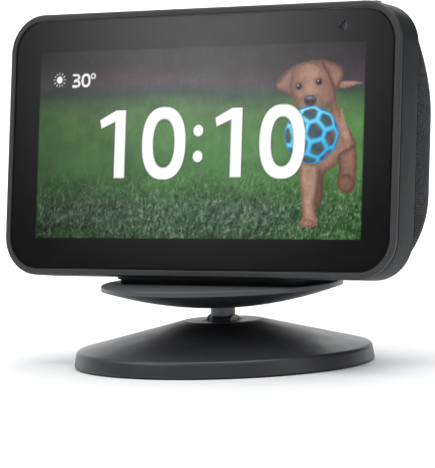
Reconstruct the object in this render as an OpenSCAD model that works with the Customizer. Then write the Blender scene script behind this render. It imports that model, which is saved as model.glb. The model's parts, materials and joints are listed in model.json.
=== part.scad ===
// Small smart display seated on a weighted stand that swivels, tilts and holds it by magnets.
//
// Frame: millimetres, +Z up, the screen faces -Y and +X is the viewer's right. The origin is the middle
// of the stand's underside, on the swivel axis. The display is drawn upright in a frame of its own: x
// across the face, y into the depth and z up the face from the middle of its bottom edge. seat() leans
// that frame back and stands it over the plate.

/* [Face] */
// Width of the display's face
face_w = 148; // [136:1:178]
// Height of the display's face
face_h = 86.6; // [84:0.2:104]
// Corner radius of the face
face_r = 13; // [11:0.5:16]
// Lean of the face back from upright, in degrees
lean = 7; // [4:0.5:10]
// How far the face stands in front of the swivel axis
face_front = 19; // [17:0.5:24]
// Height of the face's bottom edge over the stand's plate
face_rise = 3; // [2.6:0.1:5]

/* [Front frame and glass] */
// Width of the frame edge that shows round the glass
rim_w = 2; // [1.5:0.1:3]
// Depth of the frame's outer edge
rim_d = 1.6; // [1.4:0.1:2.4]
// Width of the ledge that the glass is bonded to
ledge_w = 1.8; // [1.2:0.1:2.2]
// Depth of the frame's skirt inside the housing
skirt_d = 2.8; // [1.5:0.1:2.9]
// Thickness of the cover glass
glass_t = 1.1; // [0.7:0.1:1.4]
// How far the glass sits behind the frame's front edge
glass_set = 0.3; // [0.1:0.1:0.5]

/* [Screen stack] */
// Width of the picture
screen_w = 123.6; // [100:0.2:130]
// Height of the picture
screen_h = 61.8; // [50:0.2:64]
// How far the picture's centre lies under the face's centre
screen_drop = 0.2; // [0:0.1:1]
// Border of the panel round the picture
panel_border = 1.7; // [1:0.1:2.4]
// Thickness of the touch sensor
touch_t = 0.3; // [0.2:0.05:0.5]
// Thickness of the liquid crystal panel
panel_t = 1.5; // [1:0.1:1.8]
// Thickness of the backlight unit
backlight_t = 2.6; // [2:0.1:2.8]
// Thickness of the bracket behind the backlight
bracket_t = 1; // [0.8:0.1:1.2]

/* [Housing] */
// Width of the shadow gap between frame and housing
seam_gap = 0.4; // [0.2:0.1:0.8]
// Depth of the smooth band behind the frame
band_d = 10; // [9.6:0.2:14]
// Wall of the housing
wall = 2.2; // [1.8:0.1:2.6]
// Thickness of the housing's rear flange
flange_t = 2; // [1.6:0.1:2.4]
// Width of the housing's rear flange
flange_w = 9; // [8:0.5:9]

/* [Rear pod] */
// Depth of the fabric pod behind the band
pod_d = 54; // [50:1:66]
// Height of the pod's fullest level over the face's bottom edge
pod_mid = 40; // [38:0.5:44]
// Fullness of the pod from side to side
pod_side_p = 1.98; // [1.9:0.02:2.6]
// Fullness of the pod over its fullest level
pod_top_p = 1.32; // [1.26:0.02:1.8]
// Fullness of the pod under its fullest level
pod_low_p = 2; // [1.9:0.1:3.2]
// How fast the pod's corners open out behind the band
pod_round_p = 0.66; // [0.6:0.02:1.2]
// Thickness of the fabric with its backing
fabric_t = 1; // [0.8:0.1:1.2]
// Wall of the shell under the fabric
shell_t = 2; // [1.6:0.1:2.4]

/* [Foot] */
// Thickness of the rubber foot
foot_t = 1.2; // [0.8:0.1:1.6]
// Width of the foot and of the cover over it
foot_w = 70; // [60:1:80]
// Depth of the foot, front to back
foot_d = 33; // [31:1:34]
// Height of the bottom cover over the foot
cover_h = 4.4; // [4:0.2:5]

/* [Dock pad] */
// Length of the magnetic pad on the plate
pad_w = 39; // [30:1:50]
// Width of the pad
pad_d = 12.4; // [11:0.2:14]
// Height of the pad
pad_h = 2.8; // [2.4:0.1:3]
// Corner radius of the pad
pad_r = 5; // [3:0.5:5.5]
// Diameter of a magnet in the pad
magnet_d = 8; // [6:0.5:9]
// Thickness of a magnet
magnet_t = 1.8; // [1:0.1:1.9]

/* [Speaker] */
// Diameter of the speaker driver
speaker_d = 41; // [34:0.5:41]
// Height of the speaker's axis over the face's bottom edge
speaker_up = 43; // [42.8:0.2:43.4]
// Depth of the baffle's rear face behind the face
baffle_y = 40; // [39:0.5:40]
// Width of the sealed box behind the driver
box_w = 60; // [56:1:64]
// Height of the sealed box
box_h = 43; // [42:0.5:43]
// Wall of the sealed box
box_wall = 1.4; // [1:0.1:1.6]

/* [Buttons] */
// Diameter of a top button
button_d = 4.8; // [4:0.1:4.8]
// Distance between the top buttons
button_pitch = 18; // [12:1:20]
// How far a button stands proud
button_proud = 0.2; // [0.1:0.05:0.4]
// How far a button is pressed
button_travel = 0.4; // [0.2:0.05:0.5]

/* [Camera] */
// Place of the lens to the right of the face's centre
lens_x = 53.2; // [46:0.2:54]
// Drop of the lens from the face's top edge
lens_drop = 7.7; // [7.5:0.1:8]
// Diameter of the lens window
lens_d = 3.8; // [3:0.1:4]
// Side of the square camera module
module_w = 5.6; // [5:0.1:5.8]
// Distance of each microphone hole from the middle
mic_x = 34; // [28:1:44]
// Travel of the camera shutter
shutter_travel = 4.6; // [4.4:0.1:5]

/* [Ports] */
// Width of the port recess
niche_w = 34; // [32:0.5:38]
// Height of the port recess
niche_h = 12; // [11.6:0.1:12]
// Height of the ports over the face's bottom edge
port_up = 15; // [14.8:0.1:15.2]
// Depth of the port panel's face behind the face
port_y = 46; // [45:0.5:46]
// Distance of each port from the middle
port_x = 8.5; // [8:0.1:9]
// Diameter of the seat for the plug's collar
plug_seat_d = 10.2; // [9.6:0.1:10.6]
// Depth of the seat for the plug's collar
plug_seat_t = 3; // [2.2:0.1:3.2]
// Diameter of the power socket's bore
jack_d = 4.2; // [4.1:0.05:5.6]
// Diameter of the power socket's centre pin
jack_pin_d = 1.65; // [1.2:0.05:1.7]

/* [Stand base] */
// Diameter of the base at the table
base_d = 98; // [92:1:124]
// Draw-in of the base's side from the table to its rim
base_draft = 0.8; // [0.4:0.1:1.2]
// Height of the base's rim
base_rim_z = 5.3; // [5:0.1:6]
// Height of the flat top in the middle of the base
base_top_z = 14.1; // [14:0.1:16]
// Wall of the base's cover, measured upright
base_wall = 1.8; // [1.4:0.1:2]
// Diameter of the turret that turns in the base
turret_d = 26; // [25:0.5:28]
// Diameter of the turret's flange under the cover
turret_flange_d = 33; // [32:0.5:34]
// Diameter of the hub under the turret
hub_d = 16; // [14:0.5:18]

/* [Tilt joint] */
// Height of the tilt axis
pivot_z = 12.4; // [12.2:0.1:12.8]
// Diameter of the ball on the neck
ball_d = 10; // [9.6:0.1:10.4]
// Width across the ball's flats
ball_flat_w = 8.4; // [8:0.1:8.8]
// Diameter of the neck
neck_d = 8; // [7:0.1:8.2]
// Diameter of the tilt pin
tilt_pin_d = 2.5; // [2:0.1:3]
// Furthest tilt either way, in degrees
tilt_max = 20; // [10:1:20]

/* [Plate] */
// Diameter of the plate
plate_d = 79; // [72:1:84]
// Height of the plate's top
plate_z = 26.5; // [26:0.1:32]
// Thickness of the plate's top disc
plate_t = 1.7; // [1.4:0.1:2]
// Wall of the dish under the plate
dish_wall = 1.6; // [1.2:0.1:1.8]
// Height of the dish's curve from its middle to its rim
dish_h = 6.6; // [5:0.1:7]

/* [Fits] */
// Radial gap of a part that turns in a bore
turn_gap = 0.05; // [0.02:0.01:0.1]
// Gap round parts that are set into one another
set_gap = 0.1; // [0.05:0.05:0.2]
// Gap round parts that slide or are pressed
slide_gap = 0.15; // [0.1:0.05:0.25]

/* [Hidden] */
$fn = 96;

// Levels through the display's depth
glass_y = glass_set;
touch_y = glass_y + glass_t;
panel_y = touch_y + touch_t;
backlight_y = panel_y + panel_t;
bracket_y = backlight_y + backlight_t + 0.4;
band_y = rim_d + seam_gap;
band_end = band_y + band_d;
flange_y = band_end - flange_t;
post_h = 2.6;
board_t = 1.2;
board_y = bracket_y + bracket_t + post_h;
chip_t = 1.4;
shield_t = 2.4;
spreader_y = board_y + board_t + shield_t + 0.2;
spreader_t = 1;

// Levels up the face
face_mid = face_h / 2;
screen_z = face_mid - screen_drop;
inner_top = face_h - wall;
lens_z = face_h - lens_drop;
panel_w = screen_w + 2 * panel_border;
panel_h = screen_h + 2 * panel_border;

// Skirt of the frame inside the housing
skirt_in = wall + slide_gap;
ledge_in = rim_w + ledge_w;

// Bracket, its fixings and the main board
ear_w = 7;
ear_h = 6;
ear_t = 2;
ear_up = [screen_z - 19, screen_z + 19];
bracket_w = face_w - 2 * wall - 2 * slide_gap - 4;
bracket_h = panel_h + 4.6;
screw_in = 6;
board_w = 112;
board_h = 50;
board_post_x = board_w / 2 - 6;
board_post_up = [screen_z - 21, screen_z + 21];
box_post_x = 27;
box_post_up = [speaker_up - 18, speaker_up + 18];
box_front_y = baffle_y - 24;
cone_r = speaker_d / 2 - 4.7;
frame_lip_r = speaker_d / 2 - 2.9;

// Screws: radius of the thread, radius of the head and height of the head
screw_r = 0.9;
head_r = 1.8;
head_t = 0.9;

// Underside of the pod, level with the table
sole_z = plate_z + foot_t;
foot_front = -(face_front - 6.8);
dock_clear = 0.4;
recess_h = pad_h + 0.3;
cover_recess = recess_h - foot_t;
steel_t = 1.2;
steel_z = sole_z + cover_recess + 1;
cover_screw_x = foot_w / 2 - 8;
cover_screw_y = foot_front + foot_d - 5;
rib_w = 8;
rib_t = 3;

// Top controls
control_y = band_y + 5.1;
button_x = [-button_pitch, 0, button_pitch];
button_low = inner_top - 1.8;
switch_t = 0.7;
switch_top = button_low - button_travel - 0.1;
button_board_t = 0.8;
button_tab = [7.6, 4.4, 0.8];
shutter_post = [2.4, 1.6];
shutter_blade_x = lens_x + lens_d / 2 + 0.6;
shutter_bridge_z = face_h - ledge_in - 0.9;
shutter_blade_w = lens_d + 2.8;
shutter_post_x = shutter_blade_x + shutter_post[0] / 2 + 2.4;

// Ports
niche_low = port_up - niche_h / 2;
panel_plate_t = 4;
panel_rim_t = 1.2;
jack_body = [9, 11, 9.2];
usb_body = [7.6, 5.6, 2.8];
port_board_t = 1;
port_board_z = port_up - jack_body[2] / 2 - port_board_t;

// Stand
base_r = base_d / 2;
rim_r = base_r - base_draft;
turret_r = turret_d / 2;
bore_r = turret_r + turn_gap;
cover_slope = (base_top_z - base_rim_z) / (rim_r - turret_r);
pan_t = 1.6;
pan_z = 0.8;
pan_top = pan_z + pan_t;
ballast_disc_t = 2.6;
ballast_top = pan_top + ballast_disc_t;
flange_r = turret_flange_d / 2;
turret_low = ballast_top + 0.6;
flange_high = cover_under(flange_r) - 0.5;
flange_low = flange_high - 1.9;
hub_r = hub_d / 2;
retainer_t = 1;
retainer_r = hub_r + 2.6;
slot_w = ball_flat_w + 1.2;
ball_r = ball_d / 2;
slot_l = 2 * (ball_r + 0.7);
pin_len = turret_d - 4;
plate_r = plate_d / 2;
dish_rim_z = plate_z - plate_t;
dish_low_z = dish_rim_z - dish_h;
neck_flange_r = 11;
neck_flange_t = 2;
neck_flange_z = dish_z(neck_flange_r) + dish_wall + 0.1;
base_screw_r = base_r - 17;
base_screw_n = 4;

// Height of the cover's underside at radius r
function cover_under(r) = base_top_z - (r - turret_r) * cover_slope - base_wall;

// Height of the dish's underside at radius r
function dish_z(r) = dish_low_z + dish_h * pow(r / plate_r, 2);

// Level of the pod's flat underside at depth y, in the display's frame
function sole_level(y) = (foot_t - face_rise + y * sin(lean)) / cos(lean);

// Rounded rectangle built from bars and corner discs
module round_rect(w, h, r) {
  square([w - 2 * r, h], center = true);
  square([w, h - 2 * r], center = true);
  for (sx = [-1, 1], sy = [-1, 1])
    translate([sx * (w / 2 - r), sy * (h / 2 - r)]) circle(r = r);
}

// Rounded slab parallel to the face, from depth y to y + t, centred at height z
module slab(w, h, r, y, t, z) {
  translate([0, y + t, z]) rotate([90, 0, 0]) linear_extrude(t) round_rect(w, h, r);
}

// Slab with the face's outline drawn in by an even margin
module face_slab(inset, y, t) {
  slab(face_w - 2 * inset, face_h - 2 * inset, face_r - inset, y, t, face_mid);
}

// Block given by its lowest corner and its size
module block(at, size) {
  translate(at) cube(size);
}

// Turns a shape drawn along +Z so that it points into the display's depth
module into_depth(x, y, z) {
  translate([x, y, z]) rotate([-90, 0, 0]) children();
}

// Leans the display's frame back and stands it over the plate
module seat() {
  translate([0, -face_front, plate_z + face_rise]) rotate([-lean, 0, 0]) children();
}

// Flat-headed screw along +Z with its head's underside at z = 0
module screw(len, shaft = screw_r, head = head_r) {
  translate([0, 0, -head_t]) cylinder(r = head, h = head_t);
  translate([0, 0, -0.01]) cylinder(r = shaft, h = len);
}

// ---- Rear pod: a lofted surface whose sections shrink towards the rear ----

ring_count = 16;
corner_steps = 9;

// Half width, rise and fall of the pod's section at share t of its depth
function fade(t, p) = pow(max(0, 1 - pow(t, p)), 1 / p);
function pod_half(t, inset) = (face_w / 2 - inset) * fade(t, pod_side_p);
function pod_rise(t, inset) = (face_h - inset - pod_mid) * fade(t, pod_top_p);
function pod_fall(t, inset) = (pod_mid - inset) * fade(t, pod_low_p);

// One corner point of a rounded section with half sizes a and b and corner radius r
function corner_point(a, b, r, turn) =
  let (q = floor(turn / 90), sx = (q == 0 || q == 3) ? 1 : -1, sz = q < 2 ? 1 : -1, ang = turn - 0.001)
  [sx * (a - r) + r * cos(ang), sz * (b - r) + r * sin(ang)];

// Closed section at share t, as points in the display's frame
function pod_section(t, inset) =
  let (
    a = pod_half(t, inset), up = pod_rise(t, inset), down = pod_fall(t, inset),
    b = (up + down) / 2, mid = pod_mid + (up - down) / 2, r0 = min(face_r - inset, a, b),
    r = min(r0 + (min(a, b) - r0) * pow(t, pod_round_p), a - 0.15, b - 0.15),
    y = band_end + (pod_d - inset) * t, low = sole_level(y) + inset
  )
  [for (q = [0:3], s = [0:corner_steps - 1])
    let (p = corner_point(a, b, r, 90 * q + 0.5 + 89 * s / (corner_steps - 1)))
    [p[0], y, max(mid + p[1], low)]];

// Shares of the depth at which sections are drawn, closer together towards the rear
function ring_share(i) = sin(90 * i / ring_count);

// Shell of the pod between two margins, closed at the rear and open at the band
module pod_shell(outer, inner) {
  n = 4 * corner_steps;
  rows = ring_count;
  skin = [for (i = [0:rows - 1]) each pod_section(ring_share(i), outer)];
  lining = [for (i = [0:rows - 1]) each pod_section(ring_share(i), inner)];
  poles = [[0, band_end + pod_d - outer, pod_mid], [0, band_end + pod_d - inner, pod_mid]];
  points = concat(skin, lining, poles);
  half = rows * n;
  polyhedron(points = points, faces = concat(
    [for (i = [0:rows - 2], k = [0:n - 1]) let (a = i * n + k, b = i * n + (k + 1) % n)
      [a, b, b + n]],
    [for (i = [0:rows - 2], k = [0:n - 1]) let (a = i * n + k, b = i * n + (k + 1) % n)
      [a, b + n, a + n]],
    [for (i = [0:rows - 2], k = [0:n - 1]) let (a = half + i * n + k, b = half + i * n + (k + 1) % n)
      [a, b + n, b]],
    [for (i = [0:rows - 2], k = [0:n - 1]) let (a = half + i * n + k, b = half + i * n + (k + 1) % n)
      [a, a + n, b + n]],
    [for (k = [0:n - 1]) [(rows - 1) * n + k, (rows - 1) * n + (k + 1) % n, 2 * half]],
    [for (k = [0:n - 1]) [half + (rows - 1) * n + (k + 1) % n, half + (rows - 1) * n + k, 2 * half + 1]],
    [for (k = [0:n - 1]) [k, half + k, half + (k + 1) % n]],
    [for (k = [0:n - 1]) [k, half + (k + 1) % n, (k + 1) % n]]
  ), convexity = 6);
}

// Solid body of the pod inside one margin
module pod_solid(margin) {
  n = 4 * corner_steps;
  rows = ring_count;
  skin = [for (i = [0:rows - 1]) each pod_section(ring_share(i), margin)];
  poles = [[0, band_end + pod_d - margin, pod_mid], [0, band_end, pod_mid]];
  polyhedron(points = concat(skin, poles), faces = concat(
    [for (i = [0:rows - 2], k = [0:n - 1]) let (a = i * n + k, b = i * n + (k + 1) % n)
      [a, b, b + n]],
    [for (i = [0:rows - 2], k = [0:n - 1]) let (a = i * n + k, b = i * n + (k + 1) % n)
      [a, b + n, a + n]],
    [for (k = [0:n - 1]) [(rows - 1) * n + k, (rows - 1) * n + (k + 1) % n, rows * n]],
    [for (k = [0:n - 1]) [(k + 1) % n, k, rows * n + 1]]
  ), convexity = 4);
}

// Space that the port recess takes out of the pod, in the display's frame
module niche_space(grow) {
  block([-niche_w / 2 - grow, port_y - panel_plate_t - 1, niche_low - grow],
        [niche_w + 2 * grow, pod_d, niche_h + 2 * grow]);
}

// Space that the bottom cover takes out of the display, level with the table
module sole_space(grow) {
  translate([0, foot_front + foot_d / 2, plate_z - 1])
    linear_extrude(cover_h + foot_t + 1 + grow)
      round_rect(foot_w + 2 * grow, foot_d + 2 * grow, pad_r + grow);
}

// ---- Display: front ----

module front_frame() {
  color("#3b3d40") seat() difference() {
    union() {
      face_slab(0, 0, rim_d);
      face_slab(skirt_in, 0.5, rim_d + skirt_d - 0.5);
    }
    face_slab(rim_w, -1, touch_y + 1);
    face_slab(ledge_in, -1, band_end);
  }
}

module cover_glass() {
  color("#17181a") seat() face_slab(rim_w + set_gap / 2, glass_y, glass_t);
}

module touch_sensor() {
  color("#2c3238") seat() slab(panel_w + 0.8, panel_h + 0.8, 1.5, touch_y, touch_t, screen_z);
}

module lcd_panel() {
  color("#20262c") seat() slab(panel_w, panel_h, 1, panel_y, panel_t, screen_z);
}

module backlight_unit() {
  color("#c9ccd0") seat() slab(panel_w + 1, panel_h + 0.6, 1.2, backlight_y, backlight_t, screen_z);
}

module panel_bracket() {
  color("#9ea3a8") seat() difference() {
    union() {
      slab(bracket_w, bracket_h, 3, bracket_y, bracket_t, screen_z);
      block([lens_x - 3, bracket_y, screen_z], [6, bracket_t, lens_z - 0.9 - screen_z]);
      for (x = [-board_post_x, board_post_x], z = board_post_up)
        into_depth(x, bracket_y, z) cylinder(r = 2.4, h = bracket_t + post_h);
    }
    for (x = [-1, 1], z = ear_up)
      into_depth(x * (face_w / 2 - screw_in), bracket_y - 1, z) cylinder(r = screw_r + 0.2, h = 4);
    for (x = [-board_post_x, board_post_x], z = board_post_up)
      into_depth(x, bracket_y - 1, z) cylinder(r = screw_r, h = 12);
    for (x = [-1, 1]) translate([28 * x, 0, 0]) slab(24, 34, 3, bracket_y - 1, bracket_t + 2, screen_z);
  }
}

module bracket_screws() {
  color("#b8bcc0") seat() for (x = [-1, 1], z = ear_up)
    into_depth(x * (face_w / 2 - screw_in), bracket_y, z) screw(bracket_t + ear_t);
}

// ---- Display: housing and pod ----

module main_housing() {
  color("#35373a") difference() {
    seat() difference() {
      union() {
        difference() {
          face_slab(0, band_y, band_d);
          face_slab(wall, band_y - 1, band_d - flange_t + 1);
        }
        for (x = [-1, 1], z = ear_up)
          block([x > 0 ? face_w / 2 - wall - ear_w + 0.1 : -face_w / 2 + wall - 0.1,
                 bracket_y + bracket_t, z - ear_h / 2], [ear_w, ear_t, ear_h]);
      }
      face_slab(flange_w, band_y, band_d + 1);
      for (x = [-1, 1], z = ear_up)
        into_depth(x * (face_w / 2 - screw_in), bracket_y, z) cylinder(r = screw_r, h = ear_t + 2);
      for (x = [-1, 1], z = shell_screw_up())
        into_depth(x * (face_w / 2 - screw_in), flange_y - 1, z) cylinder(r = screw_r + 0.2, h = 6);
      for (x = button_x) translate([x, control_y, inner_top - 1])
        cylinder(d = button_d + 2 * slide_gap, h = 9);
      for (x = [-1, 1]) translate([x * mic_x, control_y, inner_top - 1]) cylinder(r = 0.6, h = 9);
      block([shutter_post_x - shutter_post[0] / 2 - shutter_travel - slide_gap,
             control_y - shutter_post[1] / 2 - slide_gap, inner_top - 1],
            [shutter_post[0] + shutter_travel + 2 * slide_gap, shutter_post[1] + 2 * slide_gap, 9]);
    }
    sole_space(set_gap);
  }
}

// Heights of the screws that hold the rear shell to the housing
function shell_screw_up() = [face_mid - 29, face_mid, face_mid + 29];

module shell_screws() {
  color("#b8bcc0") seat() for (x = [-1, 1], z = shell_screw_up())
    into_depth(x * (face_w / 2 - screw_in), flange_y, z) screw(flange_t + 2);
}

module rear_shell() {
  color("#4a4c50") difference() {
    union() {
      rear_cup();
      for (x = [-1, 1]) cover_rib(x);
    }
    for (x = [-1, 1]) translate([x * cover_screw_x, cover_screw_y, sole_z])
      cylinder(r = screw_r, h = cover_h + 8);
  }
}

// Moulded cup of the rear shell, open where the ports, the speaker and the bottom cover are
module rear_cup() {
  difference() {
    seat() difference() {
      union() {
        pod_shell(fabric_t + set_gap + 0.3, fabric_t + shell_t + set_gap + 0.3);
        difference() {
          slab(face_w - 2 * (fabric_t + shell_t), face_h - 2 * (fabric_t + shell_t), face_r + 2,
               band_end, 2, face_mid);
          face_slab(flange_w, band_end - 1, 4);
        }
      }
      for (x = [-1, 1], z = shell_screw_up())
        into_depth(x * (face_w / 2 - screw_in), band_end - 1, z) cylinder(r = screw_r, h = 4);
      into_depth(0, baffle_y, speaker_up) cylinder(r = speaker_d / 2 - 3, h = pod_d);
      niche_space(set_gap);
      block([-15 - slide_gap, port_y - panel_plate_t - 12.4, port_board_z - set_gap],
            [30 + 2 * slide_gap, 12, port_board_t + 2 * set_gap]);
    }
    sole_space(set_gap);
  }
}

// Rib of the rear shell that reaches over the bottom cover, takes its screw and stands in the shell's wall
module cover_rib(x) {
  foot_end = foot_front + foot_d;
  difference() {
    union() {
      translate([x * cover_screw_x - rib_w / 2, cover_screw_y - 4, sole_z + cover_h + set_gap])
        cube([rib_w, foot_end - cover_screw_y + 4, rib_t]);
      intersection() {
        translate([x * cover_screw_x - rib_w / 2, foot_end - 1, sole_z]) cube([rib_w, 4, cover_h + rib_t]);
        seat() pod_solid(fabric_t + set_gap + 0.8);
      }
    }
    sole_space(set_gap);
  }
}

module fabric_cover() {
  color("#46484c") difference() {
    seat() difference() {
      pod_shell(0.3, fabric_t + 0.3);
      niche_space(0);
    }
    sole_space(set_gap);
  }
}

module bottom_cover() {
  color("#2f3134") difference() {
    translate([0, foot_front + foot_d / 2, sole_z]) linear_extrude(cover_h) round_rect(foot_w, foot_d, pad_r);
    translate([0, 0, sole_z - 1]) linear_extrude(cover_recess + 1)
      round_rect(pad_w + 2 * dock_clear, pad_d + 2 * dock_clear, pad_r + dock_clear);
    translate([0, 0, steel_z]) linear_extrude(cover_h) round_rect(pad_w + 8, pad_d + 6, pad_r);
    for (x = [-1, 1]) translate([x * cover_screw_x, cover_screw_y, sole_z - 1]) {
      cylinder(r = screw_r + 0.2, h = cover_h + 2);
      cylinder(r = head_r + 0.2, h = head_t + 1.1);
    }
  }
}

module foot_pad() {
  color("#232427") difference() {
    translate([0, foot_front + foot_d / 2, plate_z]) linear_extrude(foot_t)
      round_rect(foot_w - 2, foot_d - 2, pad_r - 1);
    translate([0, 0, plate_z - 1]) linear_extrude(foot_t + 2)
      round_rect(pad_w + 2 * dock_clear, pad_d + 2 * dock_clear, pad_r + dock_clear);
  }
}

module dock_steel() {
  color("#a7abb0") translate([0, 0, steel_z]) linear_extrude(steel_t)
    round_rect(pad_w + 8 - 2 * set_gap, pad_d + 6 - 2 * set_gap, pad_r - set_gap);
}

module cover_screws() {
  color("#b8bcc0") for (x = [-1, 1])
    translate([x * cover_screw_x, cover_screw_y, sole_z + head_t + 0.1])
      screw(cover_h + rib_t - head_t - 0.6);
}

// ---- Display: electronics ----

module main_board() {
  color("#1f5a3a") seat() difference() {
    slab(board_w, board_h, 2, board_y, board_t, screen_z);
    for (x = [-board_post_x, board_post_x], z = board_post_up)
      into_depth(x, board_y - 1, z) cylinder(r = screw_r + 0.2, h = 4);
    for (x = [-box_post_x, box_post_x], z = box_post_up)
      into_depth(x, board_y - 1, z) cylinder(r = screw_r + 0.2, h = 4);
  }
}

module board_chips() {
  color("#26282b") seat() {
    block([-9, board_y + board_t, screen_z - 9], [18, chip_t, 18]);
    block([-44, board_y + board_t, screen_z + 4], [12, chip_t, 10]);
    block([-44, board_y + board_t, screen_z - 12], [10, chip_t, 8]);
    block([32, board_y + board_t, screen_z + 2], [14, chip_t, 11]);
    block([34, board_y + board_t, screen_z - 14], [9, chip_t, 9]);
  }
}

module board_screws() {
  color("#b8bcc0") seat() for (x = [-board_post_x, board_post_x], z = board_post_up)
    translate([x, board_y + board_t, z]) rotate([90, 0, 0]) screw(board_t + post_h);
}

module soc_shield() {
  color("#c4c7ca") seat() difference() {
    block([-14, board_y + board_t, screen_z - 14], [28, shield_t, 28]);
    block([-13.7, board_y + board_t - 1, screen_z - 13.7], [27.4, shield_t + 0.7, 27.4]);
  }
}

module heat_spreader() {
  color("#b3b7bb") seat() difference() {
    slab(44, 34, 3, spreader_y - 0.2, spreader_t + 0.2, screen_z);
    for (k = [-3:3]) slab(30, 1.2, 0.5, spreader_y + 0.5, 2, screen_z + 4 * k);
  }
}

module display_flex() {
  flex_x = 18;
  flex_t = 0.2;
  low = screen_z - bracket_h / 2 - 0.8;
  color("#b07a2c") seat() {
    block([-flex_x / 2, panel_y + 0.6, low], [flex_x, flex_t, screen_z - panel_h / 2 - low]);
    block([-flex_x / 2, panel_y + 0.6, low], [flex_x, board_y - panel_y - 0.6, flex_t]);
    block([-flex_x / 2, board_y - flex_t, low], [flex_x, flex_t, screen_z - board_h / 2 + 3 - low]);
  }
}

module antennas() {
  color("#c9a24a") seat() for (x = [-1, 1]) {
    block([x > 0 ? 57.5 : -64, bracket_y + bracket_t, screen_z - 14], [6.5, 0.3, 28]);
    block([x > 0 ? 57.5 : -64, bracket_y + bracket_t, screen_z + 14], [2, 0.3, 8]);
  }
}

// ---- Display: speaker ----

module speaker_box() {
  up = speaker_up;
  color("#2b2d30") seat() difference() {
    union() {
      difference() {
        slab(box_w, box_h, 5, box_front_y, baffle_y - box_front_y, up);
        slab(box_w - 2 * box_wall, box_h - 2 * box_wall, 5 - box_wall, box_front_y + box_wall,
             baffle_y - box_front_y - 2 * box_wall, up);
      }
      for (x = [-box_post_x, box_post_x], z = box_post_up)
        into_depth(x, board_y + board_t, z) cylinder(r = 2.4, h = box_front_y - board_y - board_t + 0.5);
    }
    into_depth(0, baffle_y - 5, up) cylinder(r = speaker_d / 2 - 1.6, h = 9);
    for (x = [-box_post_x, box_post_x], z = box_post_up)
      into_depth(x, board_y, z) cylinder(r = screw_r, h = box_front_y - board_y);
  }
}

module box_screws() {
  color("#b8bcc0") seat() for (x = [-box_post_x, box_post_x], z = box_post_up)
    into_depth(x, board_y, z) screw(board_t + 2.6);
}

// Driver profile, along the depth from the baffle's rear face at 0
module on_speaker_axis() {
  into_depth(0, baffle_y, speaker_up) children();
}

module speaker_basket() {
  r = speaker_d / 2;
  color("#3c3e41") seat() on_speaker_axis() rotate_extrude()
    polygon([[r, 0], [r, 1.2], [frame_lip_r, 1.2], [frame_lip_r, -0.2], [11, -9.2], [6.6, -9.2], [6.6, -10.2],
             [11.6, -10.2], [r - 1.8, -0.8], [r - 1.8, 0]]);
}

module speaker_magnet() {
  color("#8d9196") seat() on_speaker_axis() difference() {
    translate([0, 0, -20.4]) cylinder(r = 13.5, h = 10.2);
    translate([0, 0, -18]) difference() {
      cylinder(r = 6.6, h = 9);
      translate([0, 0, -1]) cylinder(r = 5.2, h = 8.7);
    }
  }
}

module speaker_cone() {
  color("#1c1d1f") seat() on_speaker_axis() rotate_extrude()
    polygon([[0, -5.4], [3.6, -5.8], [5.6, -7], [5.6, -13], [6.1, -13], [6.1, -7.2],
             [cone_r, -0.7], [cone_r, -0.2],
             [6.3, -6.1], [3.8, -5.1], [0, -4.7]]);
}

module speaker_surround() {
  edge = cone_r - 0.4;
  mid = (edge + frame_lip_r) / 2;
  half = (frame_lip_r - edge) / 2;
  color("#232427") seat() on_speaker_axis() rotate_extrude() translate([mid, -0.2]) difference() {
    circle(r = half, $fn = 48);
    circle(r = half - 0.4, $fn = 48);
    translate([-5, -10]) square([10, 10]);
  }
}

module speaker_gasket() {
  color("#1e1f21") seat() on_speaker_axis() translate([0, 0, 1.2]) difference() {
    cylinder(r = speaker_d / 2 - 0.5, h = 2.4);
    translate([0, 0, -1]) cylinder(r = speaker_d / 2 - 2.6, h = 5);
  }
}

module speaker_grille() {
  r = speaker_d / 2 - 1.2;
  color("#3a3c3f") seat() on_speaker_axis() translate([0, 0, 3.6]) difference() {
    cylinder(r = r, h = 1);
    for (ring = [1:3], k = [0:6 * ring - 1]) rotate([0, 0, 60 * k / ring])
      translate([4.6 * ring, 0, -1]) cylinder(r = 1.2, h = 3);
  }
}

// ---- Display: controls ----

module button_board() {
  w = 2 * button_pitch + 22;
  color("#1f5a3a") seat()
    block([-w / 2, control_y - 2.3, switch_top - switch_t - button_board_t], [w, 5, button_board_t]);
}

module button_switches() {
  color("#c9ccd0") seat() for (x = button_x)
    block([x - 2, control_y - 1.5, switch_top - switch_t], [4, 3, switch_t]);
}

// Button cap with the tab that keeps it under the housing's wall
module top_button(x) {
  translate([x, control_y, button_low]) cylinder(d = button_d, h = face_h + button_proud - button_low);
  block([x - button_tab[0] / 2, control_y - button_tab[1] / 2, inner_top - button_tab[2] - 0.1], button_tab);
}

module mute_button() {
  color("#55585c") seat() difference() {
    top_button(button_x[0]);
    translate([button_x[0], control_y, face_h + button_proud - 0.15]) cylinder(r = 0.9, h = 2);
  }
}

module volume_down_button() {
  color("#55585c") seat() difference() {
    top_button(button_x[1]);
    block([button_x[1] - 1.1, control_y - 0.2, face_h + button_proud - 0.15], [2.2, 0.4, 2]);
  }
}

module volume_up_button() {
  color("#55585c") seat() difference() {
    top_button(button_x[2]);
    block([button_x[2] - 1.1, control_y - 0.2, face_h + button_proud - 0.15], [2.2, 0.4, 2]);
    block([button_x[2] - 0.2, control_y - 1.1, face_h + button_proud - 0.15], [0.4, 2.2, 2]);
  }
}

module camera_module() {
  barrel_y = touch_y + 0.9;
  color("#1d1e20") seat() difference() {
    union() {
      block([lens_x - module_w / 2, barrel_y + 0.8, lens_z - module_w / 2],
            [module_w, bracket_y - barrel_y - 0.8, module_w]);
      into_depth(lens_x, barrel_y, lens_z) cylinder(r = lens_d / 2 + 0.5, h = 1);
    }
    into_depth(lens_x, barrel_y - 1, lens_z) cylinder(r = lens_d / 2, h = 2.2);
  }
}

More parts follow.
